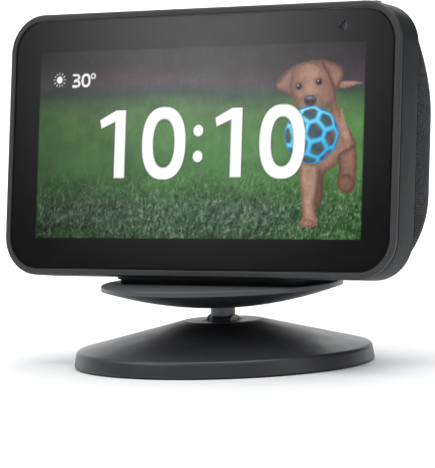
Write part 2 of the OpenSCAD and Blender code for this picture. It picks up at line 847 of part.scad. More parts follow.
module camera_lens() {
  color("#2a3040") seat() into_depth(lens_x, touch_y + 1.2, lens_z) cylinder(r = lens_d / 2 - 0.02, h = 0.9);
}

module light_sensor() {
  color("#2e3034") seat() block([lens_x - 5.4, touch_y, lens_z - 0.8], [2, 1, 1.6]);
}

module camera_shutter() {
  knob_l = 5.6;
  blade_y = touch_y + 0.3;
  color("#6a6d71") seat() {
    block([shutter_blade_x, blade_y, lens_z - lens_d / 2 - 0.4],
          [shutter_blade_w, 0.3, shutter_bridge_z + 0.6 - lens_z + lens_d / 2 + 0.4]);
    block([shutter_post_x - shutter_post[0] / 2, blade_y, shutter_bridge_z],
          [shutter_post[0], control_y + shutter_post[1] / 2 - blade_y, 0.6]);
    block([shutter_post_x - shutter_post[0] / 2, control_y - shutter_post[1] / 2, shutter_bridge_z],
          [shutter_post[0], shutter_post[1], face_h + 0.3 - shutter_bridge_z]);
    difference() {
      block([shutter_post_x - knob_l / 2, control_y - 1.6, face_h + 0.1], [knob_l, 3.2, 0.45]);
      for (k = [-2:2]) block([shutter_post_x + k - 0.2, control_y - 2, face_h + 0.35], [0.4, 4, 1]);
    }
  }
}

// ---- Display: ports ----

module port_panel() {
  w = niche_w - 2 * set_gap;
  h = niche_h - 2 * set_gap;
  low = niche_low + set_gap;
  color("#2b2d30") seat() difference() {
    intersection() {
      block([-w / 2, port_y - panel_plate_t, low], [w, pod_d, h]);
      pod_solid(0.3);
    }
    block([-w / 2 + panel_rim_t / 2, port_y, low + panel_rim_t / 2],
          [w - panel_rim_t, pod_d, h - panel_rim_t]);
    into_depth(-port_x, port_y - plug_seat_t, port_up) cylinder(d = plug_seat_d, h = 9);
    into_depth(-port_x, port_y - 9, port_up) cylinder(r = jack_d / 2 + 0.4, h = 9);
    block([port_x - usb_body[0] / 2 - 0.5, port_y - 9, port_up - usb_body[2] / 2 - 0.5],
          [usb_body[0] + 1, 10, usb_body[2] + 1]);
  }
}

module port_board() {
  color("#1f5a3a") seat() block([-15, port_y - panel_plate_t - 12.2, port_board_z], [30, 12, port_board_t]);
}

module power_inlet() {
  y0 = port_y - panel_plate_t - jack_body[1] - 0.1;
  color("#17181a") seat() {
    difference() {
      block([-port_x - jack_body[0] / 2, y0, port_up - jack_body[2] / 2], jack_body);
      into_depth(-port_x, y0 + 1.6, port_up) cylinder(d = jack_d, h = jack_body[1]);
    }
    into_depth(-port_x, y0 + 1, port_up) cylinder(d = jack_pin_d, h = jack_body[1] - 1.6);
  }
}

module service_port() {
  y0 = port_y - panel_plate_t - usb_body[1] - 0.1;
  low = port_up - usb_body[2] / 2;
  color("#a7abb0") seat() {
    difference() {
      block([port_x - usb_body[0] / 2, y0, low], usb_body);
      block([port_x - usb_body[0] / 2 + 0.4, y0 + 1, low + 0.4],
            [usb_body[0] - 0.8, usb_body[1], usb_body[2] - 0.8]);
    }
    block([port_x - 2.4, y0 + 0.5, low + 1.5], [4.8, usb_body[1] - 1.2, 0.7]);
    block([port_x - 3, y0 + 0.6, port_board_z + port_board_t], [6, 3, low - port_board_z - port_board_t]);
  }
}

// ---- Stand: plate, which the display is set down on ----

module dock_pad() {
  color("#2a2b2e") difference() {
    translate([0, 0, plate_z]) linear_extrude(pad_h) round_rect(pad_w, pad_d, pad_r);
    for (x = [-1, 0, 1]) translate([x * (magnet_d + 3), 0, plate_z - 1])
      cylinder(d = magnet_d + 2 * set_gap, h = magnet_t + 1.1);
  }
}

module dock_magnets() {
  color("#c8cacc") for (x = [-1, 0, 1])
    translate([x * (magnet_d + 3), 0, plate_z]) cylinder(d = magnet_d, h = magnet_t);
}

module plate_top() {
  edge = 0.5;
  color("#3f4144") rotate_extrude()
    polygon([[0, dish_rim_z], [plate_r, dish_rim_z], [plate_r, plate_z - edge], [plate_r - edge, plate_z],
             [0, plate_z]]);
}

module plate_dish() {
  steps = 12;
  inner = neck_d / 2 + set_gap;
  span = plate_r - inner;
  under = [for (i = [0:steps]) let (r = inner + span * i / steps) [r, dish_z(r)]];
  over = [for (i = [steps:-1:0]) let (r = inner + (span - dish_wall) * i / steps)
    [r, min(dish_z(r) + dish_wall, dish_rim_z)]];
  color("#2a2b2e") difference() {
    rotate_extrude() polygon(concat(under, over));
    for (k = [0:2]) rotate([0, 0, 120 * k + 30])
      translate([neck_flange_r - 3, 0, neck_flange_z - 1.2]) cylinder(r = screw_r, h = 9);
  }
}

module neck_post() {
  color("#3a3c3f") difference() {
    union() {
      intersection() {
        translate([0, 0, pivot_z]) sphere(d = ball_d);
        translate([0, 0, pivot_z]) cube([ball_flat_w, ball_d + 1, ball_d + 1], center = true);
      }
      translate([0, 0, pivot_z + 2]) cylinder(d = neck_d, h = neck_flange_z - pivot_z - 1);
      translate([0, 0, neck_flange_z]) cylinder(r = neck_flange_r, h = neck_flange_t);
    }
    translate([-ball_d, 0, pivot_z]) rotate([0, 90, 0])
      cylinder(r = tilt_pin_d / 2 + turn_gap, h = 2 * ball_d);
    for (k = [0:2]) rotate([0, 0, 120 * k + 30]) translate([neck_flange_r - 3, 0, neck_flange_z - 1])
      cylinder(r = screw_r, h = 9);
  }
}

module plate_screws() {
  high = neck_flange_z + neck_flange_t;
  color("#b8bcc0") for (k = [0:2]) rotate([0, 0, 120 * k + 30])
    translate([neck_flange_r - 3, 0, high]) mirror([0, 0, 1]) screw(neck_flange_t + 1.1);
}

// ---- Stand: turret, which turns in the base ----

module turret() {
  color("#303235") difference() {
    union() {
      translate([0, 0, turret_low]) cylinder(r = turret_r, h = base_top_z - turret_low);
      translate([0, 0, flange_low]) cylinder(r = flange_r, h = flange_high - flange_low);
      translate([0, 0, pan_top + retainer_t + 0.2]) cylinder(r = hub_r, h = turret_low - pan_top - retainer_t);
    }
    translate([-slot_w / 2, -slot_l / 2, pivot_z - ball_r - 0.5]) cube([slot_w, slot_l, 2 * ball_d]);
    translate([-pin_len / 2, 0, pivot_z]) rotate([0, 90, 0]) cylinder(d = tilt_pin_d, h = pin_len);
    translate([0, 0, pan_top]) cylinder(r = 1.2, h = 4);
  }
}

module tilt_pin() {
  color("#c8cacc") translate([-pin_len / 2, 0, pivot_z]) rotate([0, 90, 0])
    cylinder(d = tilt_pin_d, h = pin_len);
}

module tilt_washers() {
  gap = (slot_w - ball_flat_w) / 2;
  color("#d8d2c0") for (x = [-1, 1]) translate([x * (slot_w / 2 - gap / 2), 0, pivot_z]) rotate([0, 90, 0])
    difference() {
      cylinder(r = 3.4, h = gap - 0.1, center = true);
      cylinder(r = tilt_pin_d / 2 + 0.02, h = 4, center = true);
    }
}

module swivel_washer() {
  color("#c8cacc") translate([0, 0, ballast_top + 0.05]) difference() {
    cylinder(r = turret_r - 0.5, h = 0.5);
    translate([0, 0, -1]) cylinder(r = hub_r + 0.2, h = 3);
  }
}

module turret_retainer() {
  z = pan_top + 0.2;
  color("#b8bcc0") {
    translate([0, 0, z]) cylinder(r = retainer_r, h = retainer_t);
    translate([0, 0, z + retainer_t - 0.01]) cylinder(r = 1.2, h = 2);
  }
}

module glide_ring() {
  color("#e3e1da") translate([0, 0, flange_high + 0.05]) difference() {
    cylinder(r = flange_r, h = 0.4);
    translate([0, 0, -1]) cylinder(r = bore_r + 0.3, h = 3);
  }
}

// ---- Stand: base ----

module base_shell() {
  edge = 0.8;
  color("#37393c") rotate_extrude()
    polygon([[base_r - base_wall, 0.4], [base_r, 0.4], [rim_r, base_rim_z - edge],
             [rim_r - edge, base_rim_z + edge * cover_slope],
             [turret_r + 1, base_top_z - cover_slope], [bore_r, base_top_z],
             [bore_r, base_top_z - base_wall],
             [rim_r - base_wall - edge, cover_under(rim_r - base_wall - edge)],
             [base_r - base_wall, base_rim_z - base_wall]]);
}

module base_ballast() {
  gap = 0.3;
  outer = rim_r - base_wall - 2.4;
  inner = flange_r + 1;
  color("#8d9196") difference() {
    rotate_extrude()
      polygon([[hub_r + 0.15, pan_top], [outer, pan_top], [outer, cover_under(outer) - gap],
               [inner, cover_under(inner) - gap], [inner, ballast_top], [hub_r + 0.15, ballast_top]]);
    translate([0, 0, pan_top - 1]) cylinder(r = retainer_r + 0.4, h = retainer_t + 1.4);
    for (k = [0:base_screw_n - 1]) rotate([0, 0, 360 * k / base_screw_n + 45])
      translate([base_screw_r, 0, pan_top - 1]) cylinder(r = screw_r, h = 4);
  }
}

module base_pan() {
  color("#2a2b2e") difference() {
    translate([0, 0, pan_z]) cylinder(r = base_r - base_wall - set_gap, h = pan_t);
    for (k = [0:base_screw_n - 1]) rotate([0, 0, 360 * k / base_screw_n + 45])
      translate([base_screw_r, 0, pan_z - 1]) {
        cylinder(r = screw_r + 0.2, h = 4);
        cylinder(r = head_r + 0.2, h = 1 + head_t);
      }
  }
}

module base_foot() {
  color("#1f2022") cylinder(r = base_r - 4, h = pan_z);
}

module base_screws() {
  color("#b8bcc0") for (k = [0:base_screw_n - 1]) rotate([0, 0, 360 * k / base_screw_n + 45])
    translate([base_screw_r, 0, pan_z + head_t]) screw(2.4);
}

front_frame();
cover_glass();
touch_sensor();
lcd_panel();
backlight_unit();
panel_bracket();
bracket_screws();
main_housing();
shell_screws();
rear_shell();
fabric_cover();
bottom_cover();
foot_pad();
dock_steel();
cover_screws();
main_board();
board_chips();
board_screws();
soc_shield();
heat_spreader();
display_flex();
antennas();
speaker_box();
box_screws();
speaker_basket();
speaker_magnet();
speaker_cone();
speaker_surround();
speaker_gasket();
speaker_grille();
button_board();
button_switches();
mute_button();
volume_down_button();
volume_up_button();
camera_module();
camera_lens();
light_sensor();
camera_shutter();
port_panel();
port_board();
power_inlet();
service_port();
dock_pad();
dock_magnets();
plate_top();
plate_dish();
neck_post();
plate_screws();
tilt_pin();
tilt_washers();
turret();
swivel_washer();
turret_retainer();
glide_ring();
base_shell();
base_ballast();
base_pan();
base_foot();
base_screws();
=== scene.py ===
"""Looks of a small smart display that is seated on its weighted, tilting and turning stand.

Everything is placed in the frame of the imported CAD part: metres, +Z up, the screen facing -Y. Sizes inside
the classes are in millimetres. The display's own parts are laid out upright, in a frame with x across the
face, y into the depth and z up the face, and a Seat leans that frame back and stands it over the plate.
"""

import json  # noqa: E402
import logging  # noqa: E402
import math  # noqa: E402
from dataclasses import dataclass  # noqa: E402
from enum import Enum  # noqa: E402

import bmesh  # noqa: E402
import bpy  # noqa: E402
import numpy as np  # noqa: E402
from mathutils import Matrix, Vector  # noqa: E402

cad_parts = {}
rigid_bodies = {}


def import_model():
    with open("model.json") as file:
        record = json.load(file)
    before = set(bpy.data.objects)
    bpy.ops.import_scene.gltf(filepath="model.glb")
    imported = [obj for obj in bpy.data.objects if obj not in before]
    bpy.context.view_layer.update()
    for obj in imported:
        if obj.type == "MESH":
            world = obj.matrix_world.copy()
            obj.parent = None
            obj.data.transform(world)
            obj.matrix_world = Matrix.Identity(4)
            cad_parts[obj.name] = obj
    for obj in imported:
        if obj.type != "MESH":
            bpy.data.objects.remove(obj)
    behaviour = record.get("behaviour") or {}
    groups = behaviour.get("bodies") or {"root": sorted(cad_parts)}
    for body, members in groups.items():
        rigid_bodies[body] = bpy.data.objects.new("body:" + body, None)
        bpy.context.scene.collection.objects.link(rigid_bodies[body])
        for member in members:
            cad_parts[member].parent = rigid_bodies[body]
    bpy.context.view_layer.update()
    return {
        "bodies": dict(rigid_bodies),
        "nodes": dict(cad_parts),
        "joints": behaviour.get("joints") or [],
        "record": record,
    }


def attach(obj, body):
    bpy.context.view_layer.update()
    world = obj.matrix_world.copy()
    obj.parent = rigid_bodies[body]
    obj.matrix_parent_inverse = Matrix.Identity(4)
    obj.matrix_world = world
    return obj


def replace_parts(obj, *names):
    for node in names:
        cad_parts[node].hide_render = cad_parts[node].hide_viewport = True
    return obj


LOG = logging.getLogger("smart_display")
MM = 0.001
AXIS_GAP = 1e-4  # radius that a turned profile keeps from its axis, in millimetres
FULL_TURN = 2 * math.pi
GLASS_IOR = 1.52
WIPE_SPAN = (0.35, 0.75)  # span of the wipe marks' noise on glass
Point = tuple[float, float]


class Body(Enum):
    """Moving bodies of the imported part."""

    BASE = "base"
    PLATE = "plate"
    DISPLAY = "display"


class Grain(Enum):
    """Kinds of surface relief that a finish can carry."""

    MOULDED = "moulded"
    BRUSHED = "brushed"
    CAST = "cast"
    FOAMED = "foamed"
    POLISHED = "polished"


# ---- Colour and shader helpers ----


def linear(code: str) -> tuple[float, float, float, float]:
    """Turns an sRGB hex code into linear light.

    Args:
        code: colour such as "#3b3d40".

    Returns:
        Red, green, blue and an alpha of one.
    """
    parts = [int(code[i : i + 2], 16) / 255 for i in (1, 3, 5)]
    light = [p / 12.92 if p <= 0.04045 else ((p + 0.055) / 1.055) ** 2.4 for p in parts]
    return (light[0], light[1], light[2], 1.0)


def scaled(colour: tuple[float, ...], share: float) -> tuple[float, ...]:
    """Returns a linear colour with its light scaled by a share, alpha kept."""
    return (colour[0] * share, colour[1] * share, colour[2] * share, 1.0)


def per_mm(period: float) -> float:
    """Returns the texture scale, in cycles per metre, of a pattern whose period is given in millimetres."""
    return 1000.0 / period


def add(tree: bpy.types.NodeTree, kind: str, links: dict | None = None, **settings: object) -> bpy.types.Node:
    """Adds a shader node with its settings, constants and links.

    Args:
        tree: node tree that takes the node.
        kind: class name of the node.
        links: input name or index to a constant, a socket, or a node whose first output is used.
        **settings: properties of the node itself.

    Returns:
        The new node.
    """
    node = tree.nodes.new(kind)
    for name, value in settings.items():
        setattr(node, name, value)
    for name, value in (links or {}).items():
        socket = node.inputs[name]
        if isinstance(value, bpy.types.NodeSocket):
            tree.links.new(value, socket)
        elif isinstance(value, bpy.types.Node):
            tree.links.new(value.outputs[0], socket)
        else:
            socket.default_value = value
    return node


def maths(tree: bpy.types.NodeTree, operation: str, *values: object) -> bpy.types.Node:
    """Adds a math node that applies an operation to constants, sockets or nodes."""
    return add(tree, "ShaderNodeMath", dict(enumerate(values)), operation=operation)


def ramp(tree: bpy.types.NodeTree, source: object, stops: list[tuple[float, tuple]]) -> bpy.types.Node:
    """Adds a colour ramp.

    Args:
        tree: node tree that takes the node.
        source: socket or node that drives the ramp.
        stops: position and linear colour of each stop, in rising order.

    Returns:
        The ramp node.
    """
    node = add(tree, "ShaderNodeValToRGB", {0: source})
    marks = node.color_ramp.elements
    while len(marks) < len(stops):
        marks.new(0.5)
    for mark, (place, colour) in zip(marks, stops):
        mark.position = place
        mark.color = colour
    return node


def grey(value: float) -> tuple[float, float, float, float]:
    """Returns a linear grey."""
    return (value, value, value, 1.0)


def noise(
    tree: bpy.types.NodeTree, place: object, period: float, detail: float = 3.0, rough: float = 0.5
) -> bpy.types.Node:
    """Adds a noise texture whose features are about one period wide, in millimetres.

    Args:
        tree: node tree that takes the node.
        place: coordinates of the surface.
        period: width of a feature, in millimetres.
        detail: layers of finer noise.
        rough: weight of each finer layer.

    Returns:
        The noise node.
    """
    return add(
        tree,
        "ShaderNodeTexNoise",
        {"Vector": place, "Scale": per_mm(period), "Detail": detail, "Roughness": rough},
    )


def uneven(tree: bpy.types.NodeTree, source: object, span: Point, low: float, high: float) -> bpy.types.Node:
    """Maps the usual span of a noise onto a range of roughness."""
    ends = {"Value": source, "From Min": span[0], "From Max": span[1], "To Min": low, "To Max": high}
    return add(tree, "ShaderNodeMapRange", ends)


def covered(tree: bpy.types.NodeTree, out: bpy.types.Node, sockets: dict) -> None:
    """Adds the surface shader with its sockets and links it to the output."""
    surface = add(tree, "ShaderNodeBsdfPrincipled", sockets)
    tree.links.new(surface.outputs[0], out.inputs["Surface"])


def new_material(name: str) -> tuple[bpy.types.Material, bpy.types.NodeTree, bpy.types.Node]:
    """Makes an empty node material and returns it with its tree and its output node.

    Args:
        name: name of the material.

    Returns:
        The material, its node tree and its output node.
    """
    material = bpy.data.materials.new(name)
    material.use_nodes = True
    tree = material.node_tree
    tree.nodes.clear()
    return material, tree, tree.nodes.new("ShaderNodeOutputMaterial")


# ---- Finishes ----


@dataclass(frozen=True)
class Finish:
    """One real finish: what it is called, how it was made and what it looks like.

    Attributes:
        name: common name of the finish.
        colour: sRGB hex code of the clean surface.
        metal: one for bare metal, zero otherwise.
        roughness: mean roughness.
        grain: kind of relief that the making left.
        grain_mm: period of the relief, in millimetres.
        relief_mm: height of the relief, in millimetres.
        mottle: share by which the colour wanders over the part.
        edge_mm: radius that the light sees on sharp edges, in millimetres.
        coat: weight of a clear coat.
        sheen: weight of the soft sheen of dust and fine fibres.
        shine: share of light mirrored head on, 0.5 for a common plastic.
    """

    name: str
    colour: str
    metal: float = 0.0
    roughness: float = 0.5
    grain: Grain = Grain.MOULDED
    grain_mm: float = 0.5
    relief_mm: float = 0.006
    mottle: float = 0.08
    edge_mm: float = 0.15
    coat: float = 0.0
    sheen: float = 0.0
    shine: float = 0.5

    def build(self) -> bpy.types.Material:
        """Builds the material.

        Returns:
            A procedural material with relief, wandering colour and uneven roughness.
        """
        material, tree, out = new_material(self.name)
        place = add(tree, "ShaderNodeTexCoord").outputs["Object"]
        base = linear(self.colour)
        if self.grain is Grain.BRUSHED:
            drawn = add(tree, "ShaderNodeMapping", {"Vector": place, "Scale": (0.06, 1.0, 1.0)})
            relief = noise(tree, drawn, self.grain_mm, 4.0, 0.65)
        elif self.grain is Grain.CAST:
            cells = {"Vector": place, "Scale": per_mm(self.grain_mm), "Randomness": 1.0}
            relief = add(tree, "ShaderNodeTexVoronoi", cells)
        elif self.grain is Grain.FOAMED:
            relief = noise(tree, place, self.grain_mm, 6.0, 0.8)
        else:
            relief = noise(tree, place, self.grain_mm, 3.0, 0.55)
        drift = noise(tree, place, 22.0, 4.0, 0.6)
        speck = noise(tree, place, self.grain_mm * 0.8, 2.0, 0.5)
        wander = maths(tree, "ADD", maths(tree, "MULTIPLY", drift, 0.7), maths(tree, "MULTIPLY", speck, 0.3))
        colour = ramp(
            tree, wander, [(0.36, scaled(base, 1 - self.mottle)), (0.64, scaled(base, 1 + self.mottle))]
        )
        low, high = max(0.02, self.roughness * 0.88), min(1.0, self.roughness * 1.12)
        gloss = uneven(tree, noise(tree, place, 7.0, 4.0, 0.6), (0.3, 0.7), low, high)
        round_edge = add(tree, "ShaderNodeBevel", {"Radius": self.edge_mm * MM}, samples=4)
        depth = self.relief_mm * MM
        worked = {"Height": relief.outputs[0], "Distance": depth, "Strength": 1.0, "Normal": round_edge}
        bump = add(tree, "ShaderNodeBump", worked)
        looks = {
            "Base Color": colour, "Metallic": self.metal, "Roughness": gloss, "Normal": bump,
            "Coat Weight": self.coat, "Coat Roughness": 0.05, "Sheen Weight": self.sheen,
            "Sheen Roughness": 0.5, "Specular IOR Level": self.shine,
        }
        covered(tree, out, looks)
        return material


@dataclass(frozen=True)
class GlassPrint:
    """Cover glass with a black print on its rear face. The eye gets a deep gloss with faint wipe marks."""

    name: str = "Black-backed cover glass (float glass, screen printed)"
    colour: str = "#121213"
    roughness: float = 0.09

    def build(self) -> bpy.types.Material:
        """Builds the material and returns it."""
        material, tree, out = new_material(self.name)
        place = add(tree, "ShaderNodeTexCoord").outputs["Object"]
        drawn = {"Vector": place, "Rotation": (0, 0.6, 0), "Scale": (0.25, 1.0, 1.0)}
        wiped = add(tree, "ShaderNodeMapping", drawn)
        smear = noise(tree, wiped, 9.0, 5.0, 0.7)
        gloss = uneven(tree, smear, WIPE_SPAN, self.roughness * 0.8, self.roughness * 1.5)
        ripple = {"Height": noise(tree, place, 30.0, 1.0), "Distance": 0.004 * MM, "Strength": 0.5}
        bump = add(tree, "ShaderNodeBump", ripple)
        print_colour = linear(self.colour)
        covered(tree, out, {"Base Color": print_colour, "Roughness": gloss, "IOR": GLASS_IOR, "Normal": bump})
        return material


@dataclass(frozen=True)
class LitPicture:
    """Lit screen behind the glass. The eye gets the picture's own light under the glass's reflections."""

    name: str = "Lit liquid crystal picture (backlit panel under glass)"
    attribute: str = "picture"
    strength: float = 1.0

    def build(self) -> bpy.types.Material:
        """Builds the material and returns it."""
        material, tree, out = new_material(self.name)
        picture = add(tree, "ShaderNodeAttribute", attribute_name=self.attribute)
        place = add(tree, "ShaderNodeTexCoord").outputs["Object"]
        gloss = uneven(tree, noise(tree, place, 9.0, 5.0, 0.7), WIPE_SPAN, 0.07, 0.13)
        looks = {
            "Base Color": linear("#08080a"), "Roughness": gloss, "IOR": GLASS_IOR,
            "Emission Color": picture.outputs["Color"], "Emission Strength": self.strength,
        }
        covered(tree, out, looks)
        return material


@dataclass(frozen=True)
class ClearWindow:
    """Clear spot of the cover glass in front of the camera. The eye looks in at the lens barrel."""

    name: str = "Clear camera window (uncoated float glass)"

    def build(self) -> bpy.types.Material:
        """Builds the material and returns it."""
        material, tree, out = new_material(self.name)
        place = add(tree, "ShaderNodeTexCoord").outputs["Object"]
        tint = ramp(tree, noise(tree, place, 3.0), [(0.3, linear("#dfe6f2")), (0.7, linear("#eef2fa"))])
        covered(tree, out, {"Base Color": tint, "Roughness": 0.02, "IOR": 1.3, "Transmission Weight": 1.0})
        return material


@dataclass(frozen=True)
class Cloth:
    """Heathered polyester cloth. The eye gets single yarns, lighter and darker ones mixed, painted shade in the
    hollows between yarns, and a soft sheen.

    Attributes:
        yarn_mm: distance between yarns.
        relief_mm: height of a yarn over its neighbours.
        dark: sRGB hex code of the darkest yarns.
        light: sRGB hex code of the lightest yarns.
        side_facing: least share of a normal along x where the weave runs over a side.
        top_facing: least share of a normal along z where the weave runs over the top.
    """

    name: str = "Heathered speaker cloth (woven two-tone polyester)"
    yarn_mm: float = 0.8
    relief_mm: float = 0.2
    dark: str = "#0b0c0d"
    light: str = "#414346"
    side_facing: float = 0.78
    top_facing: float = 0.86

    def _weave(self, tree: bpy.types.NodeTree, u: object, v: object) -> tuple[object, object]:
        """Weaves yarns along two directions.

        Args:
            tree: node tree.
            u: socket with the first coordinate, in millimetres.
            v: socket with the second coordinate, in millimetres.

        Returns:
            Height of the cloth, and the share of light yarn, as nodes.
        """
        turn = math.pi / self.yarn_mm
        wave_u = maths(tree, "SINE", maths(tree, "MULTIPLY", u, turn))
        wave_v = maths(tree, "SINE", maths(tree, "MULTIPLY", v, turn))
        over = maths(tree, "MULTIPLY", wave_u, wave_v)
        yarns = [
            maths(tree, "MULTIPLY", maths(tree, "ABSOLUTE", wave), maths(tree, "MULTIPLY_ADD", over, half, 0.5))
            for wave, half in ((wave_u, 0.5), (wave_v, -0.5))
        ]
        height = maths(tree, "ADD", *yarns)
        along_u = add(tree, "ShaderNodeCombineXYZ", {0: maths(tree, "MULTIPLY", u, 0.4), 1: v, 2: 0.0})
        along_v = add(tree, "ShaderNodeCombineXYZ", {0: u, 1: maths(tree, "MULTIPLY", v, 0.4), 2: 7.0})
        heather = [
            add(tree, "ShaderNodeTexNoise", {"Vector": w, "Scale": 1.25, "Detail": 2.0, "Roughness": 0.6})
            for w in (along_u, along_v)
        ]
        which = maths(tree, "MULTIPLY_ADD", over, 0.5, 0.5)
        share = add(tree, "ShaderNodeMix", {0: which, 2: heather[0], 3: heather[1]})
        return height, share

    def build(self) -> bpy.types.Material:
        """Builds the material, which reads the cloth's own coordinates from the attribute "cloth"."""
        material, tree, out = new_material(self.name)
        own, facing = (
            add(
                tree,
                "ShaderNodeSeparateXYZ",
                {0: add(tree, "ShaderNodeAttribute", attribute_name=name).outputs["Vector"]},
            )
            for name in ("cloth", "facing")
        )
        rear = self._weave(tree, own.outputs[0], own.outputs[2])
        side = self._weave(tree, own.outputs[1], own.outputs[2])
        top = self._weave(tree, own.outputs[0], own.outputs[1])
        is_side, is_top = (
            maths(tree, "GREATER_THAN", maths(tree, "ABSOLUTE", facing.outputs[axis]), least)
            for axis, least in ((0, self.side_facing), (2, self.top_facing))
        )
        mixed = []
        for k in (0, 1):
            first = add(tree, "ShaderNodeMix", {0: is_side, 2: rear[k].outputs[0], 3: side[k].outputs[0]})
            mixed.append(add(tree, "ShaderNodeMix", {0: is_top, 2: first.outputs[0], 3: top[k].outputs[0]}))
        height, share = mixed[0].outputs[0], mixed[1].outputs[0]
        place = add(tree, "ShaderNodeTexCoord").outputs["Object"]
        cloudy = maths(tree, "MULTIPLY", maths(tree, "SUBTRACT", noise(tree, place, 14.0), 0.5), 0.25)
        yarn = ramp(
            tree,
            maths(tree, "ADD", share, cloudy),
            [(0.34, linear(self.dark)), (0.52, scaled(linear(self.light), 0.55)), (0.68, linear(self.light))],
        )
        # painted shade: the weave's height darkens the yarn colour in the hollows between yarns
        shade = maths(tree, "MULTIPLY_ADD", height, 0.75, 0.38)
        colour = add(
            tree,
            "ShaderNodeMix",
            {0: 1.0, 6: yarn, 7: add(tree, "ShaderNodeCombineColor", {0: shade, 1: shade, 2: shade})},
            data_type="RGBA",
            blend_type="MULTIPLY",
        )
        fibres = noise(tree, place, 0.25, 3.0, 0.7)
        lift = maths(tree, "ADD", height, maths(tree, "MULTIPLY", fibres, 0.35))
        bump = add(tree, "ShaderNodeBump", {"Height": lift, "Distance": self.relief_mm * MM, "Strength": 0.9})
        looks = {
            "Base Color": colour.outputs[2], "Roughness": 0.88, "Normal": bump, "Sheen Weight": 0.05,
            "Sheen Roughness": 0.45, "Specular IOR Level": 0.12,
        }
        covered(tree, out, looks)
        return material


CHARCOAL_FRAME = Finish(
    "Charcoal frame plastic (injection moulded, fine spark texture)", "#3b3c3e",
    roughness=0.42, grain_mm=0.35, relief_mm=0.005, mottle=0.05, shine=0.3,
)  # a soft highlight that runs along the rounded edge
CHARCOAL_BAND = Finish(
    "Charcoal band plastic (injection moulded, matte)", "#292a2b",
    roughness=0.46, grain_mm=0.4, relief_mm=0.007, mottle=0.06, shine=0.2,
)  # an even, slightly cloudy matte
CHARCOAL_SHELL = Finish(
    "Inner shell plastic (injection moulded, plain)", "#3f4144",
    roughness=0.55, grain_mm=0.8,
)  # a plain moulded face
BLACK_COVER = Finish(
    "Black cover plastic (injection moulded, coarse texture)", "#232427",
    roughness=0.6, grain_mm=0.6, relief_mm=0.02,
)  # a dry, coarse underside
BLACK_PORTS = Finish(
    "Black port plastic (glass-filled nylon)", "#1b1c1e",
    roughness=0.48, grain_mm=0.5, relief_mm=0.01, edge_mm=0.2,
)  # a dense black with short highlights
SATIN_PLATE = Finish(
    "Charcoal plate plastic (injection moulded, satin)", "#46484b",
    roughness=0.4, grain_mm=0.4, relief_mm=0.006, mottle=0.05,
)  # a broad satin highlight
SATIN_BASE = Finish(
    "Charcoal base plastic (injection moulded, satin)", "#2b2c2f",
    roughness=0.38, grain_mm=0.45, relief_mm=0.007, mottle=0.07,
)  # a dark satin cone with soft side lights
BUTTON_PLASTIC = Finish(
    "Button plastic (injection moulded, satin)", "#505256",
    roughness=0.38, grain_mm=0.3, relief_mm=0.004, edge_mm=0.25,
)  # small caps with crisp rims
BLACK_RUBBER = Finish(
    "Black silicone rubber (compression moulded)", "#1d1d1f",
    roughness=0.82, grain=Grain.FOAMED, grain_mm=0.3, relief_mm=0.02, sheen=0.15,
)  # a dull, dusty black
SOFT_FOAM = Finish(
    "Closed-cell foam (die cut)", "#222224",
    roughness=0.95, grain=Grain.FOAMED, grain_mm=0.5, relief_mm=0.08,
)  # tiny open cells
DARK_PAPER = Finish(
    "Black cone paper (pressed)", "#17181a",
    roughness=0.85, grain=Grain.FOAMED, grain_mm=0.7, relief_mm=0.04,
)  # matted fibres
SHEET_STEEL = Finish(
    "Zinc-plated sheet steel (pressed)", "#a9adb1",
    metal=1.0, roughness=0.35, grain=Grain.BRUSHED, grain_mm=0.5, relief_mm=0.004,
)  # rolled lines
BRIGHT_SCREW = Finish(
    "Zinc-plated screw steel (cold headed)", "#b9bcc0",
    metal=1.0, roughness=0.28, grain=Grain.POLISHED, grain_mm=0.4, relief_mm=0.002,
)  # small bright heads
CAST_ZINC = Finish(
    "Zinc casting (die cast, as cast)", "#63666a",
    metal=1.0, roughness=0.42, grain=Grain.CAST, grain_mm=0.9, relief_mm=0.012, edge_mm=0.3,
)  # a grainy grey metal
SATIN_ALUMINIUM = Finish(
    "Aluminium heat spreader (extruded)", "#b2b5b8",
    metal=1.0, roughness=0.32, grain=Grain.BRUSHED, grain_mm=0.4,
)  # drawn lines
NICKEL = Finish(
    "Nickel-plated magnet (sintered and plated)", "#b7b8b6",
    metal=1.0, roughness=0.16, grain=Grain.POLISHED, relief_mm=0.001,
)  # a bright disc
TIN = Finish(
    "Tinned sheet (stamped)", "#c2c4c6",
    metal=1.0, roughness=0.3, grain=Grain.BRUSHED, grain_mm=0.6,
)  # a soft silver
BRASS = Finish(
    "Antenna brass (etched)", "#b8934c",
    metal=1.0, roughness=0.3, grain=Grain.BRUSHED,
)  # warm foil
SOLDER_MASK = Finish(
    "Green circuit board (solder mask on glass epoxy)", "#1d5a3c",
    roughness=0.32, grain_mm=0.9, mottle=0.2, coat=0.3,
)  # green lacquer
EPOXY = Finish(
    "Chip epoxy (transfer moulded)", "#1a1b1d",
    roughness=0.6, grain_mm=0.3, relief_mm=0.01,
)  # matte black
AMBER_FILM = Finish(
    "Amber flex film (polyimide)", "#a8641c",
    roughness=0.25, grain_mm=2.0, mottle=0.15,
)  # amber sheen
PANEL_FILM = Finish(
    "Polariser film (laminated)", "#15181c",
    roughness=0.15, grain=Grain.POLISHED,
)  # dark gloss
DIFFUSER = Finish("White diffuser sheet (extruded)", "#dfe2e6", roughness=0.5, grain_mm=0.4)  # even white
LENS_GLASS = Finish(
    "Coated camera lens (ground glass)", "#10131c",
    roughness=0.04, grain=Grain.POLISHED, relief_mm=0.0005, coat=1.0,
)  # a dark blue depth
NATURAL_NYLON = Finish(
    "Natural nylon washer (turned)", "#d9d5c8",
    roughness=0.45, grain_mm=0.5,
)  # waxy off-white
